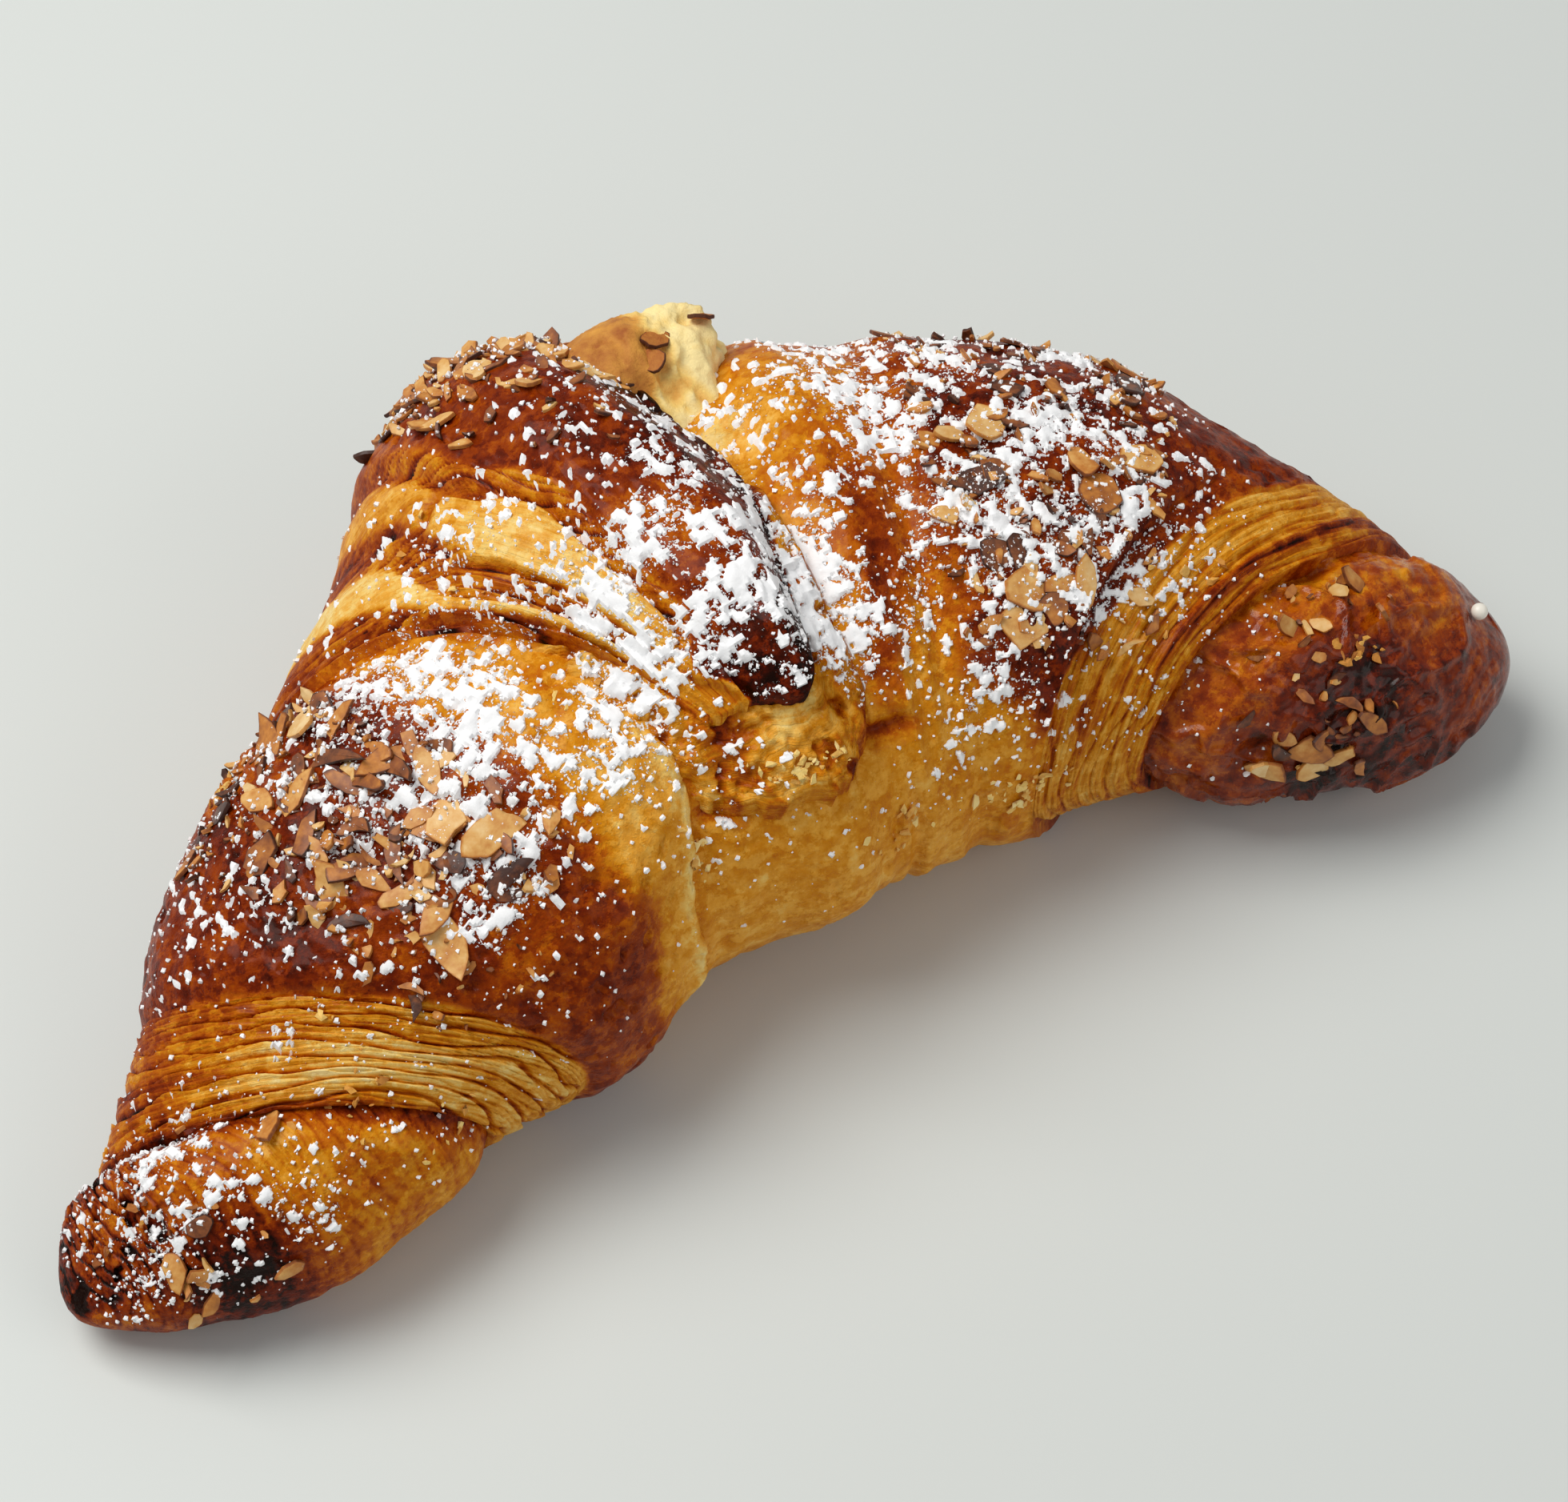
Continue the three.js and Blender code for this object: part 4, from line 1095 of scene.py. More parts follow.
# turn, share, angle, length, width, turned, tilt, toasting: those that stand out one by one
SINGLE_FLAKES = [
    ("left_tip", 0.125, 70, 6.0, 4.6, 80, 55, 0.42),
    ("left_tip", 0.100, 105, 3.6, 2.2, 60, 50, 0.30),
    ("left_turn", 0.296, 72, 9.0, 4.2, -10, 12, 0.28),
    ("left_turn", 0.288, 82, 7.0, 4.6, 30, 14, 0.20),
    ("left_turn", 0.288, 112, 11.0, 2.0, 115, 12, 0.80),
    ("left_turn", 0.282, 104, 11.5, 2.2, 110, 16, 0.70),
    ("left_turn", 0.296, 98, 9.0, 2.6, 105, 20, 0.78),
    ("left_turn", 0.300, 126, 6.5, 4.4, 60, 18, 0.10),
    ("left_turn", 0.242, 94, 7.0, 3.0, -15, 24, 0.62),
    ("crown", 0.435, 154, 4.5, 3.4, 15, 55, 0.95),
    ("crown", 0.482, 120, 5.0, 3.4, 10, 24, 0.28),
    ("right_turn", 0.682, 98, 7.5, 6.0, 50, 8, 0.22),
    ("right_turn", 0.662, 96, 4.0, 3.0, 20, 14, 0.20),
    ("right_turn", 0.750, 91, 5.5, 2.0, 60, 40, 0.10),
    ("right_turn", 0.705, 60, 8.0, 6.5, 30, 6, 0.36),
    ("right_tip", 0.912, 72, 6.0, 3.2, 40, 50, 0.34),
    ("right_tip", 0.862, 60, 4.6, 2.4, -10, 25, 0.40),
    ("right_tip", 0.895, 84, 5.0, 2.0, -20, 20, 0.55),
    ("right_tip", 0.868, 14, 6.5, 1.8, -35, 20, 0.86),
    ("right_tip", 0.884, 6, 5.0, 3.6, 30, 15, 0.22),
    ("right_tip", 0.862, 6, 4.6, 2.6, -30, 15, 0.10),
]
# turn, shares, angles, how many, shortest, longest, turned: the small pieces between them
BITS = [
    ("left_turn", (0.205, 0.32), (56, 150), 190, 1.2, 4.6, (0, 360)),
    ("left_turn", (0.2, 0.28), (40, 60), 14, 0.8, 2.6, (0, 360)),
    ("crown", (0.442, 0.528), (120, 174), 210, 1.6, 5.5, (-140, -40)),
    ("crown", (0.46, 0.5), (100, 118), 8, 1.5, 3.0, (0, 360)),
    ("right_turn", (0.645, 0.785), (44, 146), 170, 1.2, 4.4, (0, 360)),
    ("right_tip", (0.845, 0.925), (2, 84), 34, 1.0, 3.6, (0, 360)),
    ("left_tip", (0.045, 0.105), (4, 74), 16, 1.0, 3.0, (0, 360)),
]
BIT_WIDE = (0.22, 0.62)  # of their length
BIT_THICK = (0.32, 0.55)
BIT_TILT = (-5, 48)
BIT_TOAST = (0.1, 0.88)
flake_tops = []  # centre, run and length of each flake that holds grains of sugar


def unit(v):
    return v / np.linalg.norm(v)


def ground_at(off, s, d):
    """Where a surface is, and how it runs there: along the roll, across and straight out."""
    height = off(np.float64(s), np.float64(d))
    here, ahead, around = place([s, s + STRIDE["s"], s], [d, d, d + STRIDE["degrees"]], height)
    along = unit(ahead - here)
    out = unit(np.cross(along, around - here))
    return here, np.array([along, np.cross(out, along), out])


def ball(segments, rings):
    """Points and faces of a unit ball, from which small pieces are shaped."""
    deselect()
    bpy.ops.mesh.primitive_uv_sphere_add(segments=segments, ring_count=rings, radius=1)
    mesh = bpy.context.object.data
    points = np.empty(len(mesh.vertices) * 3, np.float32)
    mesh.vertices.foreach_get("co", points)
    faces = [list(face.vertices) for face in mesh.polygons]
    bpy.ops.object.delete()
    bpy.data.meshes.remove(mesh)
    return points.reshape(-1, 3).astype(float), faces


class Heap:
    """Small pieces gathered into one mesh, all shaped from one ball, each with values for its material."""

    def __init__(self, segments, rings):
        self.segments = segments
        self.pattern, self.pattern_faces = ball(segments, rings)
        self.points, self.faces, self.values = [], [], {}
        self.count = 0

    def add(self, points, **values):
        self.faces += [[i + self.count for i in face] for face in self.pattern_faces]
        self.count += len(points)
        self.points.append(points)
        for key, value in values.items():
            self.values.setdefault(key, []).append(np.zeros(len(points)) + value)


def shown(name, mesh):
    """A new object for a mesh, smooth but for its sharp edges."""
    deselect()
    piece = bpy.data.objects.new(name, mesh)
    bpy.context.collection.objects.link(piece)
    bpy.context.view_layer.objects.active = piece
    piece.select_set(True)
    bpy.ops.object.shade_smooth_by_angle(angle=math.radians(SHARP))
    return piece


def join_heaps(name, heaps):
    """One object made of all the pieces of some heaps."""
    points, faces, start = [], [], 0
    for heap in heaps:
        points += heap.points
        faces += [[i + start for i in face] for face in heap.faces]
        start += heap.count
    mesh = bpy.data.meshes.new(name)
    mesh.from_pydata((in_box(np.concatenate(points)) * MM).tolist(), [], faces)
    for key in heaps[0].values:
        put_attribute(mesh, key, np.concatenate([v for heap in heaps for v in heap.values[key]]))
    return shown(name, mesh)


def flake_outline(length, width, draw, count):
    """Points round a broken slice with uneven corners, its edges slightly rounded between them."""
    corners = []
    for i in range(FLAKE_CORNERS):
        a = (i + 0.7 * (next(draw) - 0.5)) * 2 * math.pi / FLAKE_CORNERS
        r = 0.68 + 0.44 * next(draw)
        corners.append((length / 2 * math.cos(a) * r, width / 2 * math.sin(a) * r))
    corners = np.array(corners)
    at = np.arange(count) * FLAKE_CORNERS / count
    low = at.astype(int)
    part = (at - low)[:, None]
    return lerp(corners[low], corners[(low + 1) % FLAKE_CORNERS], part) * (1 + 0.12 * part * (1 - part))


def flake_shape(pattern, outline, thick, curl, bow):
    """Flattens a ball into a slice along the outline, and says how near each point is to the rim."""
    level = np.hypot(pattern[:, 0], pattern[:, 1])
    turn = np.arctan2(pattern[:, 1], pattern[:, 0]) / (2 * math.pi) * len(outline)
    flat = outline[np.round(turn).astype(int) % len(outline)] * (level**0.16)[:, None]
    height = thick * (0.5 + 0.5 * np.sign(pattern[:, 2]) * np.abs(pattern[:, 2]) ** 0.2)
    part = flat[:, 0] / np.abs(outline).max()
    height = height + curl * part**2 + 0.12 * thick * np.sin(5 * part + 3 * curl)
    return np.column_stack([flat[:, 0], flat[:, 1] + bow * part**2, height]), smooth(level, 0.55, 0.97)


def lay_flake(heap, name, at, size, pose, draw, toast):
    """Adds one flake at a share and angle; size: length, width, thickness; pose: turned, tilt."""
    here, basis = ground_at(TURNS[name]["off"], *at)
    length, width, thick = size
    outline = flake_outline(length, width, draw, heap.segments)
    curl = FLAKE_CURL * length * (next(draw) - 0.35)
    bow = FLAKE_BOW * length if length > NARROW * width else 0
    shape, rim = flake_shape(heap.pattern, outline, thick, curl, bow)
    points = posed(shape, FLAKE_SUNK, pose, basis, here)
    dust = 0.6 * sugar_share(points.mean(0)[None], np.ones(1))[0]
    heap.add(points, toast=toast, rim=rim, dust=dust * (shape[:, 2] > 0.3 * thick))
    top = posed(np.array([[0, 0, thick + 0.05]]), FLAKE_SUNK, pose, basis, here)[0]
    low, high = SUGARED["degrees"]
    if low < at[1] < high and at[0] < SUGARED["s"]:
        flake_tops.append((top, basis, length))


def posed(shape, lift, pose, basis, here):
    """Lifts, tilts and turns a slice, then lays it on its ground."""
    turned, tilt = (math.radians(v) for v in pose)
    x, y, z = shape[:, 0], shape[:, 1], shape[:, 2] + lift
    x, z = x * math.cos(tilt) + z * math.sin(tilt), z * math.cos(tilt) - x * math.sin(tilt)
    x, y = x * math.cos(turned) - y * math.sin(turned), x * math.sin(turned) + y * math.cos(turned)
    return np.column_stack([x, y, z]) @ basis + here


def large_flakes(heap):
    """The flakes in their patches, the longest first, and then those that are set one by one."""
    tones = numbers(FLAKE_SEED + 50)
    for patch, (name, shares, angles, count, longest, turned, wide, tilt, toast) in enumerate(FLAKE_PATCHES):
        draw = numbers(FLAKE_SEED + patch)
        for i in range(count):
            at = lerp(*shares, next(draw)), lerp(*angles, next(draw))
            length = longest * (1 - 0.5 * i / count)
            size = length, length * lerp(*wide, next(draw)), FLAKE_THICK
            pose = lerp(*turned, next(draw)), lerp(*tilt, next(draw) ** 2)
            lay_flake(heap, name, at, size, pose, draw, lerp(*toast, next(tones)))
    draw = numbers(FLAKE_SEED + len(FLAKE_PATCHES))
    for name, s, d, length, width, turned, tilt, toast in SINGLE_FLAKES:
        lay_flake(heap, name, (s, d), (length, width, FLAKE_THICK), (turned, tilt), draw, toast)


def small_flakes(heap):
    """The small pieces of almond between the flakes."""
    for patch, (name, shares, angles, count, shortest, longest, turned) in enumerate(BITS):
        draw = numbers(FLAKE_SEED + 100 + patch)
        for _ in range(count):
            at = lerp(*shares, next(draw)), lerp(*angles, next(draw))
            length = lerp(shortest, longest, next(draw) ** 1.6)
            size = length, length * lerp(*BIT_WIDE, next(draw)), lerp(*BIT_THICK, next(draw))
            pose = lerp(*turned, next(draw)), lerp(*BIT_TILT, next(draw) ** 1.4)
            lay_flake(heap, name, at, size, pose, draw, lerp(*BIT_TOAST, next(draw)))


def model_almonds():
    flake_tops.clear()
    large, small = Heap(segments=16, rings=6), Heap(segments=8, rings=4)
    large_flakes(large)
    small_flakes(small)
    return finish_piece(join_heaps("almonds", [large, small]), almond_material(), "almond")


# ---- Crumbs of pastry ----
# share, angle, spread along and round the roll in millimetres, how many, how pale (0) or brown (1)
CRUMB_SPOTS = [
    (0.266, 148, 4, 4, 30, 0.45),
    (0.900, 56, 3, 3, 22, 0.55),
    (0.372, 40, 3, 9, 26, 0.25),
    (0.465, 42, 9, 2.5, 40, 0.3),
    (0.690, 8, 14, 4, 40, 0.25),
    (0.570, 12, 16, 5, 20, 0.35),
    (0.160, 60, 9, 14, 16, 0.5),
    (0.180, 20, 6, 9, 10, 0.4),
    (0.800, 70, 9, 14, 12, 0.45),
    (0.400, 95, 9, 20, 14, 0.4),
    (0.545, 128, 3, 4, 16, 0.3),
    (0.050, 80, 6, 9, 8, 0.7),
]
CRUMB_SEED = 3307
CRUMB_SIZES = (0.25, 0.95)
CRUMB_WIDE = (0.4, 0.8)  # of their length
CRUMB_FLAT = 0.32  # of their length


def model_crumbs():
    """Models the crumbs, more of them towards the middle of each spot."""
    heap = Heap(segments=5, rings=3)
    draw = numbers(CRUMB_SEED)

    def outermost(s, d):
        return turn_offs(s, d).max(0)

    for s, d, long, round_, count, brown in CRUMB_SPOTS:
        for _ in range(count):
            u, v = (next(draw) + next(draw) - 1 for _ in range(2))
            at = s + u * long / LENGTH, d + math.degrees(v * round_ / SUGAR_RADIUS)
            here, basis = ground_at(outermost, *at)
            size = lerp(*CRUMB_SIZES, next(draw) ** 2)
            spread = np.array([[next(draw) for _ in range(3)] for _ in range(len(heap.pattern))]) - 0.5
            shape = (heap.pattern + 0.9 * spread) * size * [1, lerp(*CRUMB_WIDE, next(draw)), CRUMB_FLAT]
            pose = 360 * next(draw), 30 * next(draw)
            heap.add(posed(shape, 0.12, pose, basis, here), toast=brown + 0.4 * (next(draw) - 0.5), rim=0.3)
    return finish_piece(join_heaps("crumbs", [heap]), crumb_material("pastry_crumbs"), "crust")


# ---- The filling ----
# share, angle and offset of the outermost point of its lump, and of its hidden end
FILLING_MOUTH = (0.537, 137, 6)
FILLING_END = (0.53, 110, -30)
FILLING_HALF = {"long": 11.5, "wide": 8.5}
FILLING_DOME = 0.18  # share of its depth over which the lump rounds out
FILLING_ROWS = 130
FILLING_COLUMNS = 170
# along the opening, across it, deep, length, turned, tilt: slices of almond with their brown skin on
FILLING_SLICES = [
    (9.0, 4.8, 3.6, 4.6, 60, 42),
    (2.6, 5.9, 4.0, 5.2, 20, 18),
    (1.0, 7.2, 6.4, 5.4, 150, 18),
]


def filling_axes():
    """The two ends of the filling and its directions: inwards, along the opening and across it."""
    mouth, inner = place(*FILLING_MOUTH), place(*FILLING_END)
    inward = unit(inner - mouth)
    long = place(0.6, 137, 0) - place(0.5, 137, 0)
    long = unit(long - inward * long.dot(inward))
    return mouth, inner, inward, long, np.cross(inward, long)


def filling_reach(t, a):
    """How far the filling reaches sideways, as a share, at a depth t and an angle a round its axis."""
    rounded = (1 - np.maximum(1 - t / FILLING_DOME, 0) ** 2.2) ** 0.5
    swell = np.where(t < FILLING_DOME, rounded, 1 - 0.45 * smooth(t, 0.15, 1))
    close = (1 - (np.maximum(t - 0.85, 0) / 0.15) ** 2) ** 0.5
    return swell * close * (1 + 0.07 * np.sin(3 * a + 9 * t) + 0.05 * np.sin(5 * a - 14 * t))


def model_filling():
    mouth, inner, inward, long, wide = filling_axes()
    t = 0.002 + 0.996 * np.linspace(0, 1, FILLING_ROWS)[:, None] ** 1.5
    a = np.linspace(0, 2 * math.pi, FILLING_COLUMNS + 1)[None, :]
    reach = filling_reach(t, a)
    u = FILLING_HALF["long"] * reach * np.cos(a)
    v = FILLING_HALF["wide"] * reach * np.sin(a)
    depth = np.linalg.norm(inner - mouth)
    points = mouth + (inward * depth * t)[:, None] + long * u[..., None] + wide * v[..., None]
    away = points - (mouth + inward * depth * 0.2)
    away = away / np.linalg.norm(away, axis=-1, keepdims=True)
    baked = 1 - smooth(u + 2.5 * rough(points, 4.0, 2, 501), -2.0, 4.0)
    drawn = np.stack([u, v, np.broadcast_to(0.45 * depth * t, u.shape)], -1)
    shaded_holes = smooth(blobs(drawn, 2.6, 521), 0.1, 0.9)
    crumb = 0.9 * rough(drawn, 3.0, 4, 511, 0.6) + 0.3 - 1.4 * shaded_holes
    points = points + away * (crumb * (1 - 0.65 * baked) * (1 - smooth(t, 0.3, 0.5)))[..., None]
    points[:, -1] = points[:, 0]
    first, last = (np.broadcast_to(p, points[:1].shape) for p in (mouth, inner))
    whole = np.concatenate([first, points, last])
    # the pores in the crumb are darkened as painted shade
    bake_and_painted_light = 0.62 * baked + 0.14 * rough(points, 2.0, 3, 531) + 0.02 + 0.35 * shaded_holes * (1 - baked)
    bake_and_painted_light = np.concatenate([bake_and_painted_light[:1], bake_and_painted_light, bake_and_painted_light[-1:]])
    lump = close_up(rolled_sheet("filling_crumb", in_box(whole), {"toast": bake_and_painted_light, "rim": 0 * bake_and_painted_light}))
    slices = Heap(segments=12, rings=6)
    draw = numbers(FLAKE_SEED + len(FLAKE_PATCHES) + 1)
    for along, across, deep, length, turned, tilt in FILLING_SLICES:
        here = mouth + long * along + wide * across + inward * deep
        out = unit(across * wide - 4 * inward)
        outline = flake_outline(length, 0.65 * length, draw, slices.segments)
        shape, rim = flake_shape(slices.pattern, outline, FLAKE_THICK, 0.2, 0)
        basis = np.array([long, np.cross(out, long), out])
        slices.add(posed(shape, 0.1, (turned, tilt), basis, here), toast=1.1 - 0.35 * (1 - rim), rim=rim)
    piece = join_heaps("filling_lump", [slices])
    lump.select_set(True)
    bpy.ops.object.join()
    return finish_piece(piece, crumb_material("filling_crumb"), "filling", "filling")


# ---- The white sugar pearl on the right-hand tip ----
PEARL = {"s": 0.972, "degrees": 88, "radius": 1.0}


def model_pearl():
    here, basis = ground_at(right_tip_off, PEARL["s"], PEARL["degrees"])
    radius = PEARL["radius"]
    middle = here + basis[2] * radius * 0.75
    deselect()
    bpy.ops.mesh.primitive_uv_sphere_add(segments=32, ring_count=20, radius=radius * MM, location=middle * MM)
    pearl = bpy.context.object
    pearl.name = pearl.data.name = "sugar_pearl"
    bpy.ops.object.transform_apply(location=True, rotation=True, scale=True)
    bpy.ops.object.shade_smooth()
    return finish_piece(pearl, plain_material("sugar_pearl", (244, 238, 224), 0.35), "sugar")


# ---- Materials ----
# screen colours of the crust, from hardly baked to nearly black
BAKE_RAMP = [
    (0.00, (250, 222, 150)),
    (0.14, (246, 202, 108)),
    (0.28, (236, 168, 60)),
    (0.42, (214, 136, 18)),
    (0.56, (188, 96, 5)),
    (0.70, (148, 56, 1)),
    (0.82, (110, 30, 1)),
    (0.92, (66, 12, 1)),
    (1.00, (24, 4, 1)),
]


def linear(colour):
    """A screen colour from 0 to 255 as scene-linear red, green, blue and alpha."""
    parts = [c / 255 for c in colour]
    parts = [c / 12.92 if c <= 0.04045 else ((c + 0.055) / 1.055) ** 2.4 for c in parts]
    return (*parts, 1.0)


class Nodes:
    """Short ways to add and join the nodes of one material."""

    def __init__(self, name):
        self.material = bpy.data.materials.get(name) or bpy.data.materials.new(name)
        self.material.use_nodes = True
        self.tree = self.material.node_tree
        self.tree.nodes.clear()
        self.output = self.add("ShaderNodeOutputMaterial")
        self.shader = self.add("ShaderNodeBsdfPrincipled")
        self.join(self.shader.outputs[0], self.output.inputs["Surface"])

    def add(self, kind, **settings):
        node = self.tree.nodes.new(kind)
        for key, value in settings.items():
            setattr(node, key, value)
        return node

    def join(self, source, socket):
        self.tree.links.new(source, socket)

    def feed(self, node, key, value):
        socket = node.inputs[key]
        if isinstance(value, bpy.types.NodeSocket):
            self.join(value, socket)
        else:
            socket.default_value = value

    def maths(self, kind, a, b=0.0, c=0.0):
        node = self.add("ShaderNodeMath", operation=kind)
        for i, value in enumerate((a, b, c)):
            self.feed(node, i, value)
        return node.outputs[0]

    def weighted(self, value, weight, base):
        """The value times its weight, added to a base."""
        return self.maths("MULTIPLY_ADD", value, weight, base)

    def plain(self, **values):
        """Sets values of the shader that are the same all over, by the names of their sockets."""
        for name, value in values.items():
            self.shader.inputs[name.replace("_", " ")].default_value = value

    def points(self):
        return self.add("ShaderNodeTexCoord").outputs["Object"]

    def attribute(self, name, output="Fac"):
        return self.add("ShaderNodeAttribute", attribute_name=name).outputs[output]

    def stretched(self, vector, scale):
        node = self.add("ShaderNodeMapping")
        self.join(vector, node.inputs["Vector"])
        node.inputs["Scale"].default_value = scale
        return node.outputs[0]

    def noise(self, vector, scale, detail=4.0, harshness=0.6):
        node = self.add("ShaderNodeTexNoise")
        self.join(vector, node.inputs["Vector"])
        node.inputs["Scale"].default_value = scale
        node.inputs["Detail"].default_value = detail
        node.inputs["Roughness"].default_value = harshness
        return self.maths("SUBTRACT", node.outputs["Fac"], 0.5)

    def ramp(self, factor, stops):
        node = self.add("ShaderNodeValToRGB")
        self.join(factor, node.inputs["Fac"])
        elements = node.color_ramp.elements
        while len(elements) < len(stops):
            elements.new(0.5)
        for element, (at, colour) in zip(elements, stops):
            element.position = at
            element.color = linear(colour)
        return node.outputs["Color"]

    def mix(self, factor, a, b):
        node = self.add("ShaderNodeMix", data_type="RGBA")
        self.feed(node, 0, factor)
        self.feed(node, 6, a)
        self.feed(node, 7, b)
        return node.outputs[2]

    def between(self, value, low, high, to_low=0.0, to_high=1.0):
        node = self.add("ShaderNodeMapRange", interpolation_type="SMOOTHSTEP")
        for i, v in enumerate((value, low, high, to_low, to_high)):
            self.feed(node, i, v)
        return node.outputs[0]

    def bump(self, height, strength, distance):
        node = self.add("ShaderNodeBump")
        node.inputs["Strength"].default_value = strength
        node.inputs["Distance"].default_value = distance * MM
        self.join(height, node.inputs["Height"])
        self.join(node.outputs[0], self.shader.inputs["Normal"])


SUGAR_WHITE = (252, 252, 252)


def dusted(n, place_in, mottle):
    """Fine specks of icing sugar, the more of them the higher the dust attribute."""
    powder = n.weighted(mottle, 0.6, n.noise(place_in, 2600, 2, 0.6))
    cut = n.maths("MAXIMUM", n.weighted(n.attribute("dust"), -0.5, 0.31), 0.07)
    return n.between(n.maths("SUBTRACT", powder, cut), 0.0, 0.04, 0.0, 0.9)


def pastry_material(name, coat):
    """Baked layered pastry: the browning, with painted shade and painted highlights in it, sets the colour;
    fine fibres run along the layers.
    """
    n = Nodes(f"baked_{name}")
    place_in = n.points()
    grain = n.attribute("grain", "Vector")
    mottle = n.noise(place_in, 700, 5, 0.65)
    blotch = n.noise(place_in, 170, 3, 0.5)
    fibre = n.noise(n.stretched(grain, (2.4, 0.16, 0.16)), 1.0, 4, 0.6)
    bake_and_painted_light = n.attribute("bake_and_painted_light")
    gloss = n.attribute("gloss")
    fibrous = n.between(gloss, 0.36, 0.46, 0.34, 0.07)
    patches = n.between(n.noise(place_in, 420, 4, 0.7), -0.03, 0.06, 0.05, -0.05)
    tone = n.weighted(mottle, 0.44, bake_and_painted_light)
    tone = n.weighted(blotch, 0.20, tone)
    tone = n.weighted(fibre, fibrous, n.maths("ADD", tone, patches))
    colour = n.ramp(tone, BAKE_RAMP)
    film = dusted(n, place_in, mottle)
    n.join(n.mix(film, colour, linear(SUGAR_WHITE)), n.shader.inputs["Base Color"])
    matt = n.weighted(gloss, -0.32, 0.58)
    matt = n.weighted(mottle, 0.25, matt)
    n.join(n.weighted(film, 0.4, matt), n.shader.inputs["Roughness"])
    flaky = n.weighted(patches, -1.2, mottle)
    height = n.weighted(fibre, n.maths("MULTIPLY", fibrous, 3.0), flaky)
    n.bump(n.weighted(film, 0.5, height), strength=0.9, distance=0.4)
    n.plain(IOR=1.46, Specular_IOR_Level=0.07, Specular_Tint=(1.0, 0.8, 0.55, 1.0))
    n.plain(Coat_Weight=coat, Coat_Roughness=0.16)
    return n.material


def sugar_material():
    """Icing sugar: white, matt and slightly lumpy."""
    n = Nodes("icing_sugar")
    place_in = n.points()
    n.plain(Base_Color=linear(SUGAR_WHITE), Roughness=0.9)
    n.bump(n.noise(place_in, 2600, 3, 0.7), strength=0.5, distance=0.15)
    return n.material


def plain_material(name, colour, roughness):
    """One colour and one roughness all over."""
    n = Nodes(name)
    n.plain(Base_Color=linear(colour), Roughness=roughness)
    return n.material


ALMOND_RAMP = [
    (0.00, (240, 206, 146)),
    (0.28, (222, 168, 92)),
    (0.50, (196, 124, 48)),
    (0.72, (148, 82, 34)),
    (0.88, (104, 54, 24)),
    (1.00, (62, 28, 12)),
]


def almond_material():
    """Toasted almond: paler faces, darker rims and a fine grain."""
    n = Nodes("toasted_almond")
    place_in = n.points()
    fine = n.noise(place_in, 1300, 3, 0.6)
    tone = n.weighted(fine, 0.35, n.attribute("toast"))
    tone = n.weighted(n.attribute("rim"), 0.30, tone)
    mottle = n.noise(place_in, 420, 3, 0.55)
    tone = n.weighted(mottle, 0.8, tone)
    film = dusted(n, place_in, mottle)
    n.join(n.mix(film, n.ramp(tone, ALMOND_RAMP), linear(SUGAR_WHITE)), n.shader.inputs["Base Color"])
    n.plain(Roughness=0.5)
    n.bump(fine, strength=0.4, distance=0.15)
    return n.material


CRUMB_RAMP = [
    (0.00, (255, 232, 164)),
    (0.25, (246, 208, 118)),
    (0.50, (222, 156, 62)),
    (0.80, (166, 90, 26)),
    (1.00, (84, 38, 10)),
]


def crumb_material(name):
    """Soft baked crumb, from pale to browned; in the filling its pores are also darkened as painted shade."""
    n = Nodes(name)
    place_in = n.points()
    fine = n.noise(place_in, 1100, 4, 0.7)
    tone = n.weighted(fine, 0.3, n.attribute("toast"))
    n.join(n.ramp(tone, CRUMB_RAMP), n.shader.inputs["Base Color"])
    n.plain(Roughness=0.75)
    n.bump(fine, strength=0.8, distance=0.3)
    return n.material


# ---- The stage ----
VIEW = {"azimuth": -27.3, "elevation": 56.0, "target": (7.5, -9.5, 14.0), "distance": 430.0}
LENS = 85.4
SENSOR = 36.0
LIGHTS_AIM = (0, 0, 20)
SOFTBOXES = [
    {"name": "window", "location": (-330, 330, 820), "size": (620, 620), "colour": (1.0, 0.985, 0.96)},
    {"name": "reflector", "location": (420, -620, 520), "size": (700, 500), "colour": (1.0, 0.97, 0.93)},
]
WORLD_COLOUR = (0.93, 0.96, 1.0, 1)
FLOOR_SIZE = 6  # metres


def looking(obj, target):
    obj.rotation_mode = "QUATERNION"
    obj.rotation_quaternion = (target - obj.location).to_track_quat("-Z", "Y")


def add_camera():
    a, e = math.radians(VIEW["azimuth"]), math.radians(VIEW["elevation"])
    back = Vector((math.sin(a) * math.cos(e), -math.cos(a) * math.cos(e), math.sin(e)))
    target = Vector(VIEW["target"]) * MM
    bpy.ops.object.camera_add(location=target + back * VIEW["distance"] * MM)
    camera = bpy.context.object
    camera.name = "camera"
    camera.data.lens = LENS
    camera.data.sensor_width = SENSOR
    camera.data.clip_start = 0.01
    camera.data.dof.use_dof = False
    looking(camera, target)
    bpy.context.scene.camera = camera


def add_softbox(name, location, size, power, colour):
    bpy.ops.object.light_add(type="AREA", location=[v * MM for v in location])
    light = bpy.context.object
    light.name = name
    light.data.shape = "RECTANGLE"
    light.data.size, light.data.size_y = (v * MM for v in size)
    light.data.energy = power
    light.data.color = colour
    looking(light, Vector(LIGHTS_AIM) * MM)


def add_floor():
    bpy.ops.mesh.primitive_plane_add(size=FLOOR_SIZE, location=(0, 0, 0))
    floor = bpy.context.object
    floor.name = "floor"
    floor.data.materials.append(plain_material("pale_floor", (214, 218, 214), 0.55))


def set_world(strength):
    world = bpy.data.worlds.new("studio")
    bpy.context.scene.world = world
    world.use_nodes = True
    background = world.node_tree.nodes["Background"]
    background.inputs["Color"].default_value = WORLD_COLOUR
    background.inputs["Strength"].default_value = strength


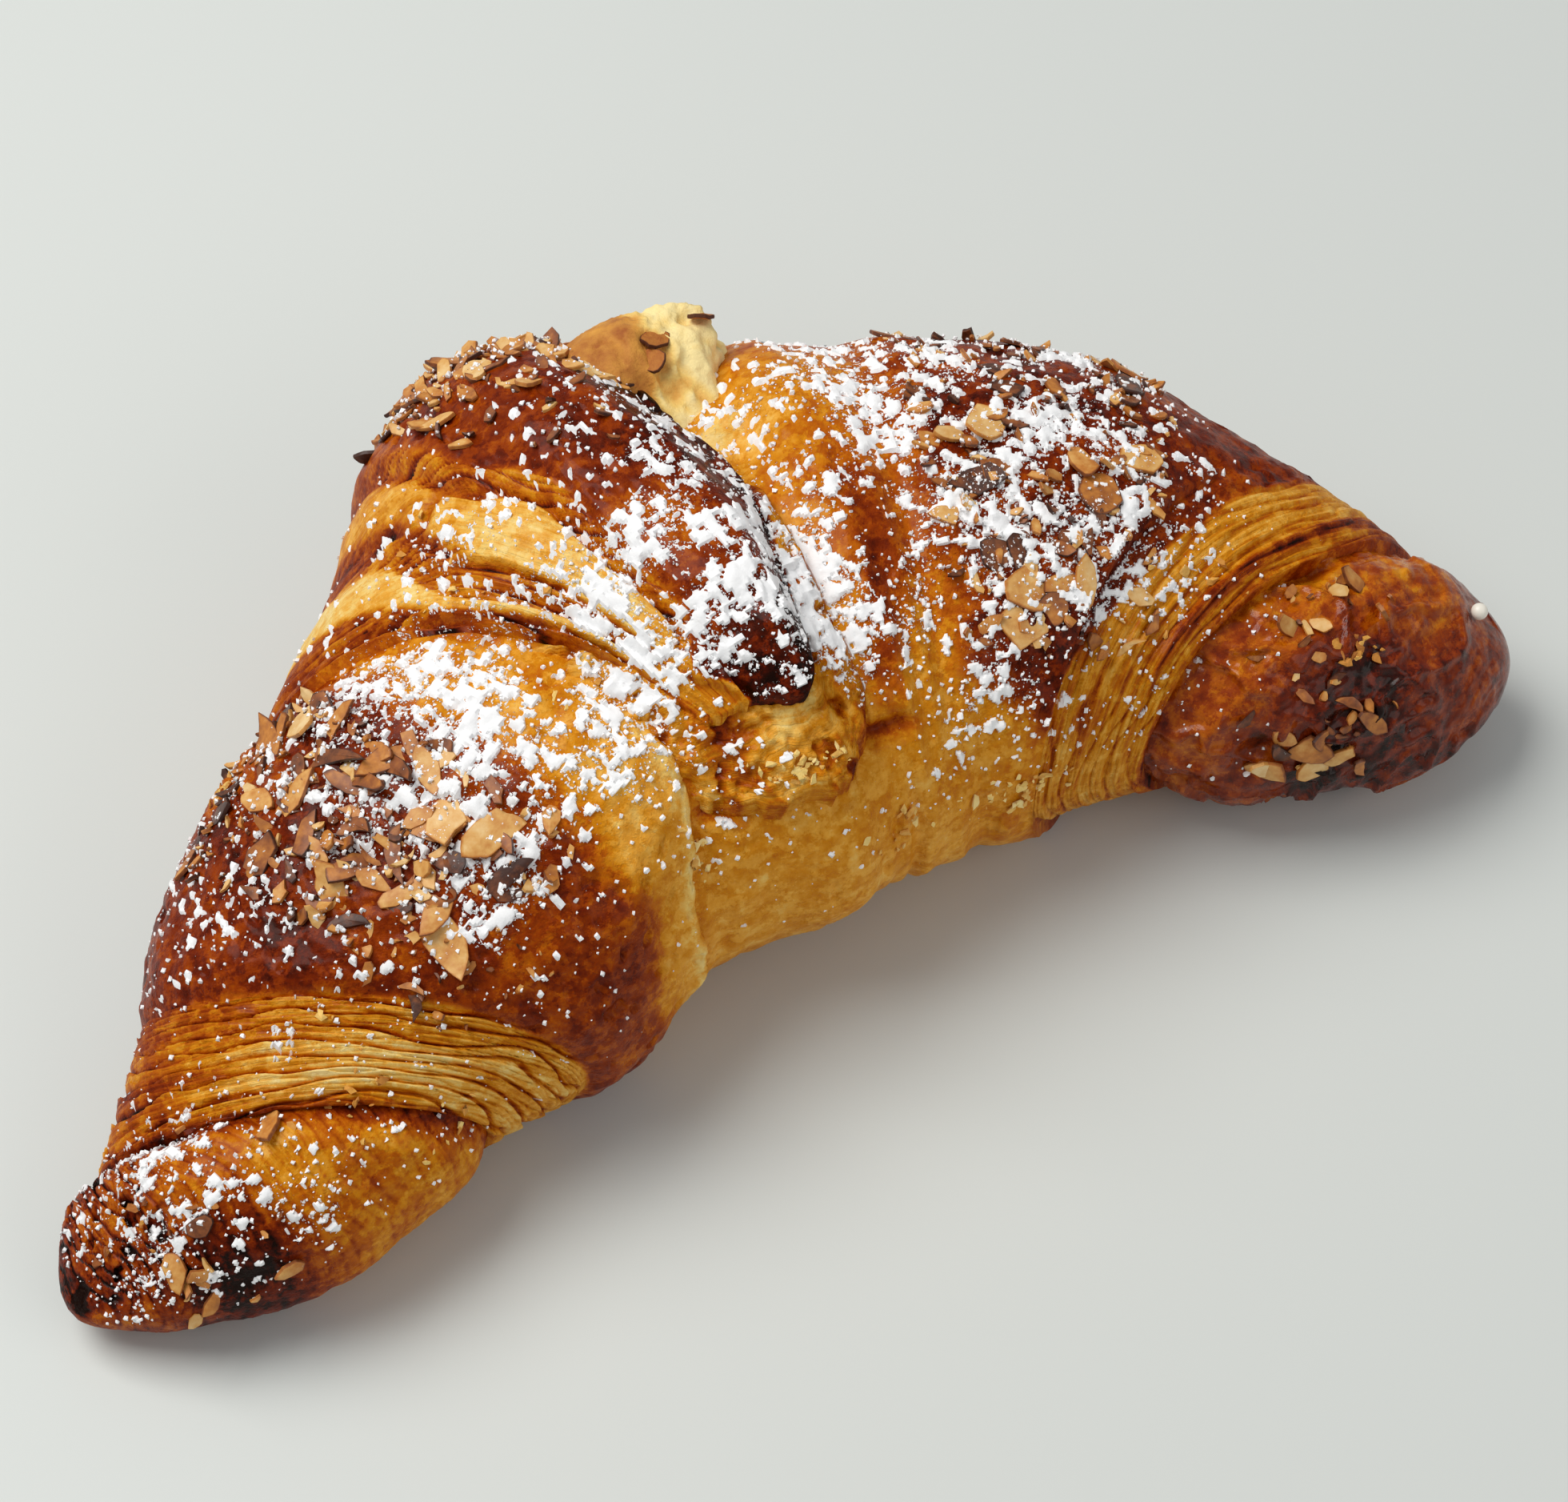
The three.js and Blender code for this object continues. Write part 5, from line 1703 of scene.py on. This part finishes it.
class CroissantSettings(bpy.types.PropertyGroup):
    """Lights that a user may change."""

    key_light: bpy.props.FloatProperty(
        name="Key Light", description="Power of the large soft light", default=7.4, unit="POWER"
    )
    front_light: bpy.props.FloatProperty(
        name="Front Light", description="Power of the weak light in front", default=1.3, unit="POWER"
    )
    fill_light: bpy.props.FloatProperty(
        name="Fill Light", description="Strength of the even light all round", default=0.32
    )


class CROISSANT_OT_left_tip(bpy.types.Operator):
    """Model the blunt left-hand tip with its ribs"""

    bl_idname = "croissant.left_tip"
    bl_label = "Left-Hand Tip"

    def execute(self, context):
        model_turn("left_tip")
        return {"FINISHED"}


class CROISSANT_OT_left_turn(bpy.types.Operator):
    """Model the left-hand turn: a laminated band and a dark crust"""

    bl_idname = "croissant.left_turn"
    bl_label = "Left-Hand Turn"

    def execute(self, context):
        model_turn("left_turn")
        return {"FINISHED"}


class CROISSANT_OT_crown(bpy.types.Operator):
    """Model the crown: broad pale terraces and the dark tongue over them"""

    bl_idname = "croissant.crown"
    bl_label = "Crown"

    def execute(self, context):
        model_turn("crown")
        return {"FINISHED"}


class CROISSANT_OT_torn_layer(bpy.types.Operator):
    """Model the torn layer below the tongue"""

    bl_idname = "croissant.torn_layer"
    bl_label = "Torn Layer"

    def execute(self, context):
        model_turn("torn_layer")
        return {"FINISHED"}


class CROISSANT_OT_right_turn(bpy.types.Operator):
    """Model the belly, the golden hump and the right-hand crust with its band"""

    bl_idname = "croissant.right_turn"
    bl_label = "Right-Hand Turn"

    def execute(self, context):
        model_turn("right_turn")
        return {"FINISHED"}


class CROISSANT_OT_right_tip(bpy.types.Operator):
    """Model the glossy right-hand tip"""

    bl_idname = "croissant.right_tip"
    bl_label = "Right-Hand Tip"

    def execute(self, context):
        model_turn("right_tip")
        return {"FINISHED"}


class CROISSANT_OT_filling(bpy.types.Operator):
    """Model the crumbly filling that swells out of the opening"""

    bl_idname = "croissant.filling"
    bl_label = "Filling"

    def execute(self, context):
        model_filling()
        return {"FINISHED"}


class CROISSANT_OT_almonds(bpy.types.Operator):
    """Model the almond flakes baked onto the crust"""

    bl_idname = "croissant.almonds"
    bl_label = "Almond Flakes"

    def execute(self, context):
        model_almonds()
        return {"FINISHED"}


class CROISSANT_OT_crumbs(bpy.types.Operator):
    """Model the crumbs of pastry that cling to the crust"""

    bl_idname = "croissant.crumbs"
    bl_label = "Crumbs"

    def execute(self, context):
        model_crumbs()
        return {"FINISHED"}


class CROISSANT_OT_sugar(bpy.types.Operator):
    """Model the icing sugar in clumps and grains"""

    bl_idname = "croissant.sugar"
    bl_label = "Icing Sugar"

    def execute(self, context):
        surface, covered = model_clumps()
        model_grains(surface, covered)
        return {"FINISHED"}


class CROISSANT_OT_pearl(bpy.types.Operator):
    """Model the sugar pearl on the right-hand tip"""

    bl_idname = "croissant.pearl"
    bl_label = "Sugar Pearl"

    def execute(self, context):
        model_pearl()
        return {"FINISHED"}


class CROISSANT_OT_stage(bpy.types.Operator):
    """Add the floor, the lights and the camera"""

    bl_idname = "croissant.stage"
    bl_label = "Stage"

    def execute(self, context):
        settings = context.scene.croissant
        add_floor()
        for box, power in zip(SOFTBOXES, (settings.key_light, settings.front_light)):
            add_softbox(power=power, **box)
        set_world(settings.fill_light)
        add_camera()
        context.scene.view_settings.view_transform = "Standard"
        return {"FINISHED"}


OPERATORS = (
    CROISSANT_OT_left_tip,
    CROISSANT_OT_left_turn,
    CROISSANT_OT_crown,
    CROISSANT_OT_torn_layer,
    CROISSANT_OT_right_turn,
    CROISSANT_OT_right_tip,
    CROISSANT_OT_filling,
    CROISSANT_OT_almonds,
    CROISSANT_OT_crumbs,
    CROISSANT_OT_sugar,
    CROISSANT_OT_pearl,
    CROISSANT_OT_stage,
)


class CROISSANT_PT_panel(bpy.types.Panel):
    """Lists the croissant's settings and pieces"""

    bl_idname = "CROISSANT_PT_panel"
    bl_label = "Almond Croissant"
    bl_space_type = "VIEW_3D"
    bl_region_type = "UI"
    bl_category = "Croissant"

    def draw(self, context):
        for name in CroissantSettings.__annotations__:
            self.layout.prop(context.scene.croissant, name)
        for operator in OPERATORS:
            self.layout.operator(operator.bl_idname)


CLASSES = (CroissantSettings, *OPERATORS, CROISSANT_PT_panel)


def register():
    for cls in CLASSES:
        bpy.utils.register_class(cls)
    bpy.types.Scene.croissant = bpy.props.PointerProperty(type=CroissantSettings)


def unregister():
    del bpy.types.Scene.croissant
    for cls in reversed(CLASSES):
        bpy.utils.unregister_class(cls)


def main():
    register()
    for operator in OPERATORS:
        step = getattr(bpy.ops.croissant, operator.bl_idname.split(".")[1])
        if step() != {"FINISHED"}:
            raise RuntimeError(f"{operator.bl_label} was not finished")


if __name__ == "__main__":
    main()
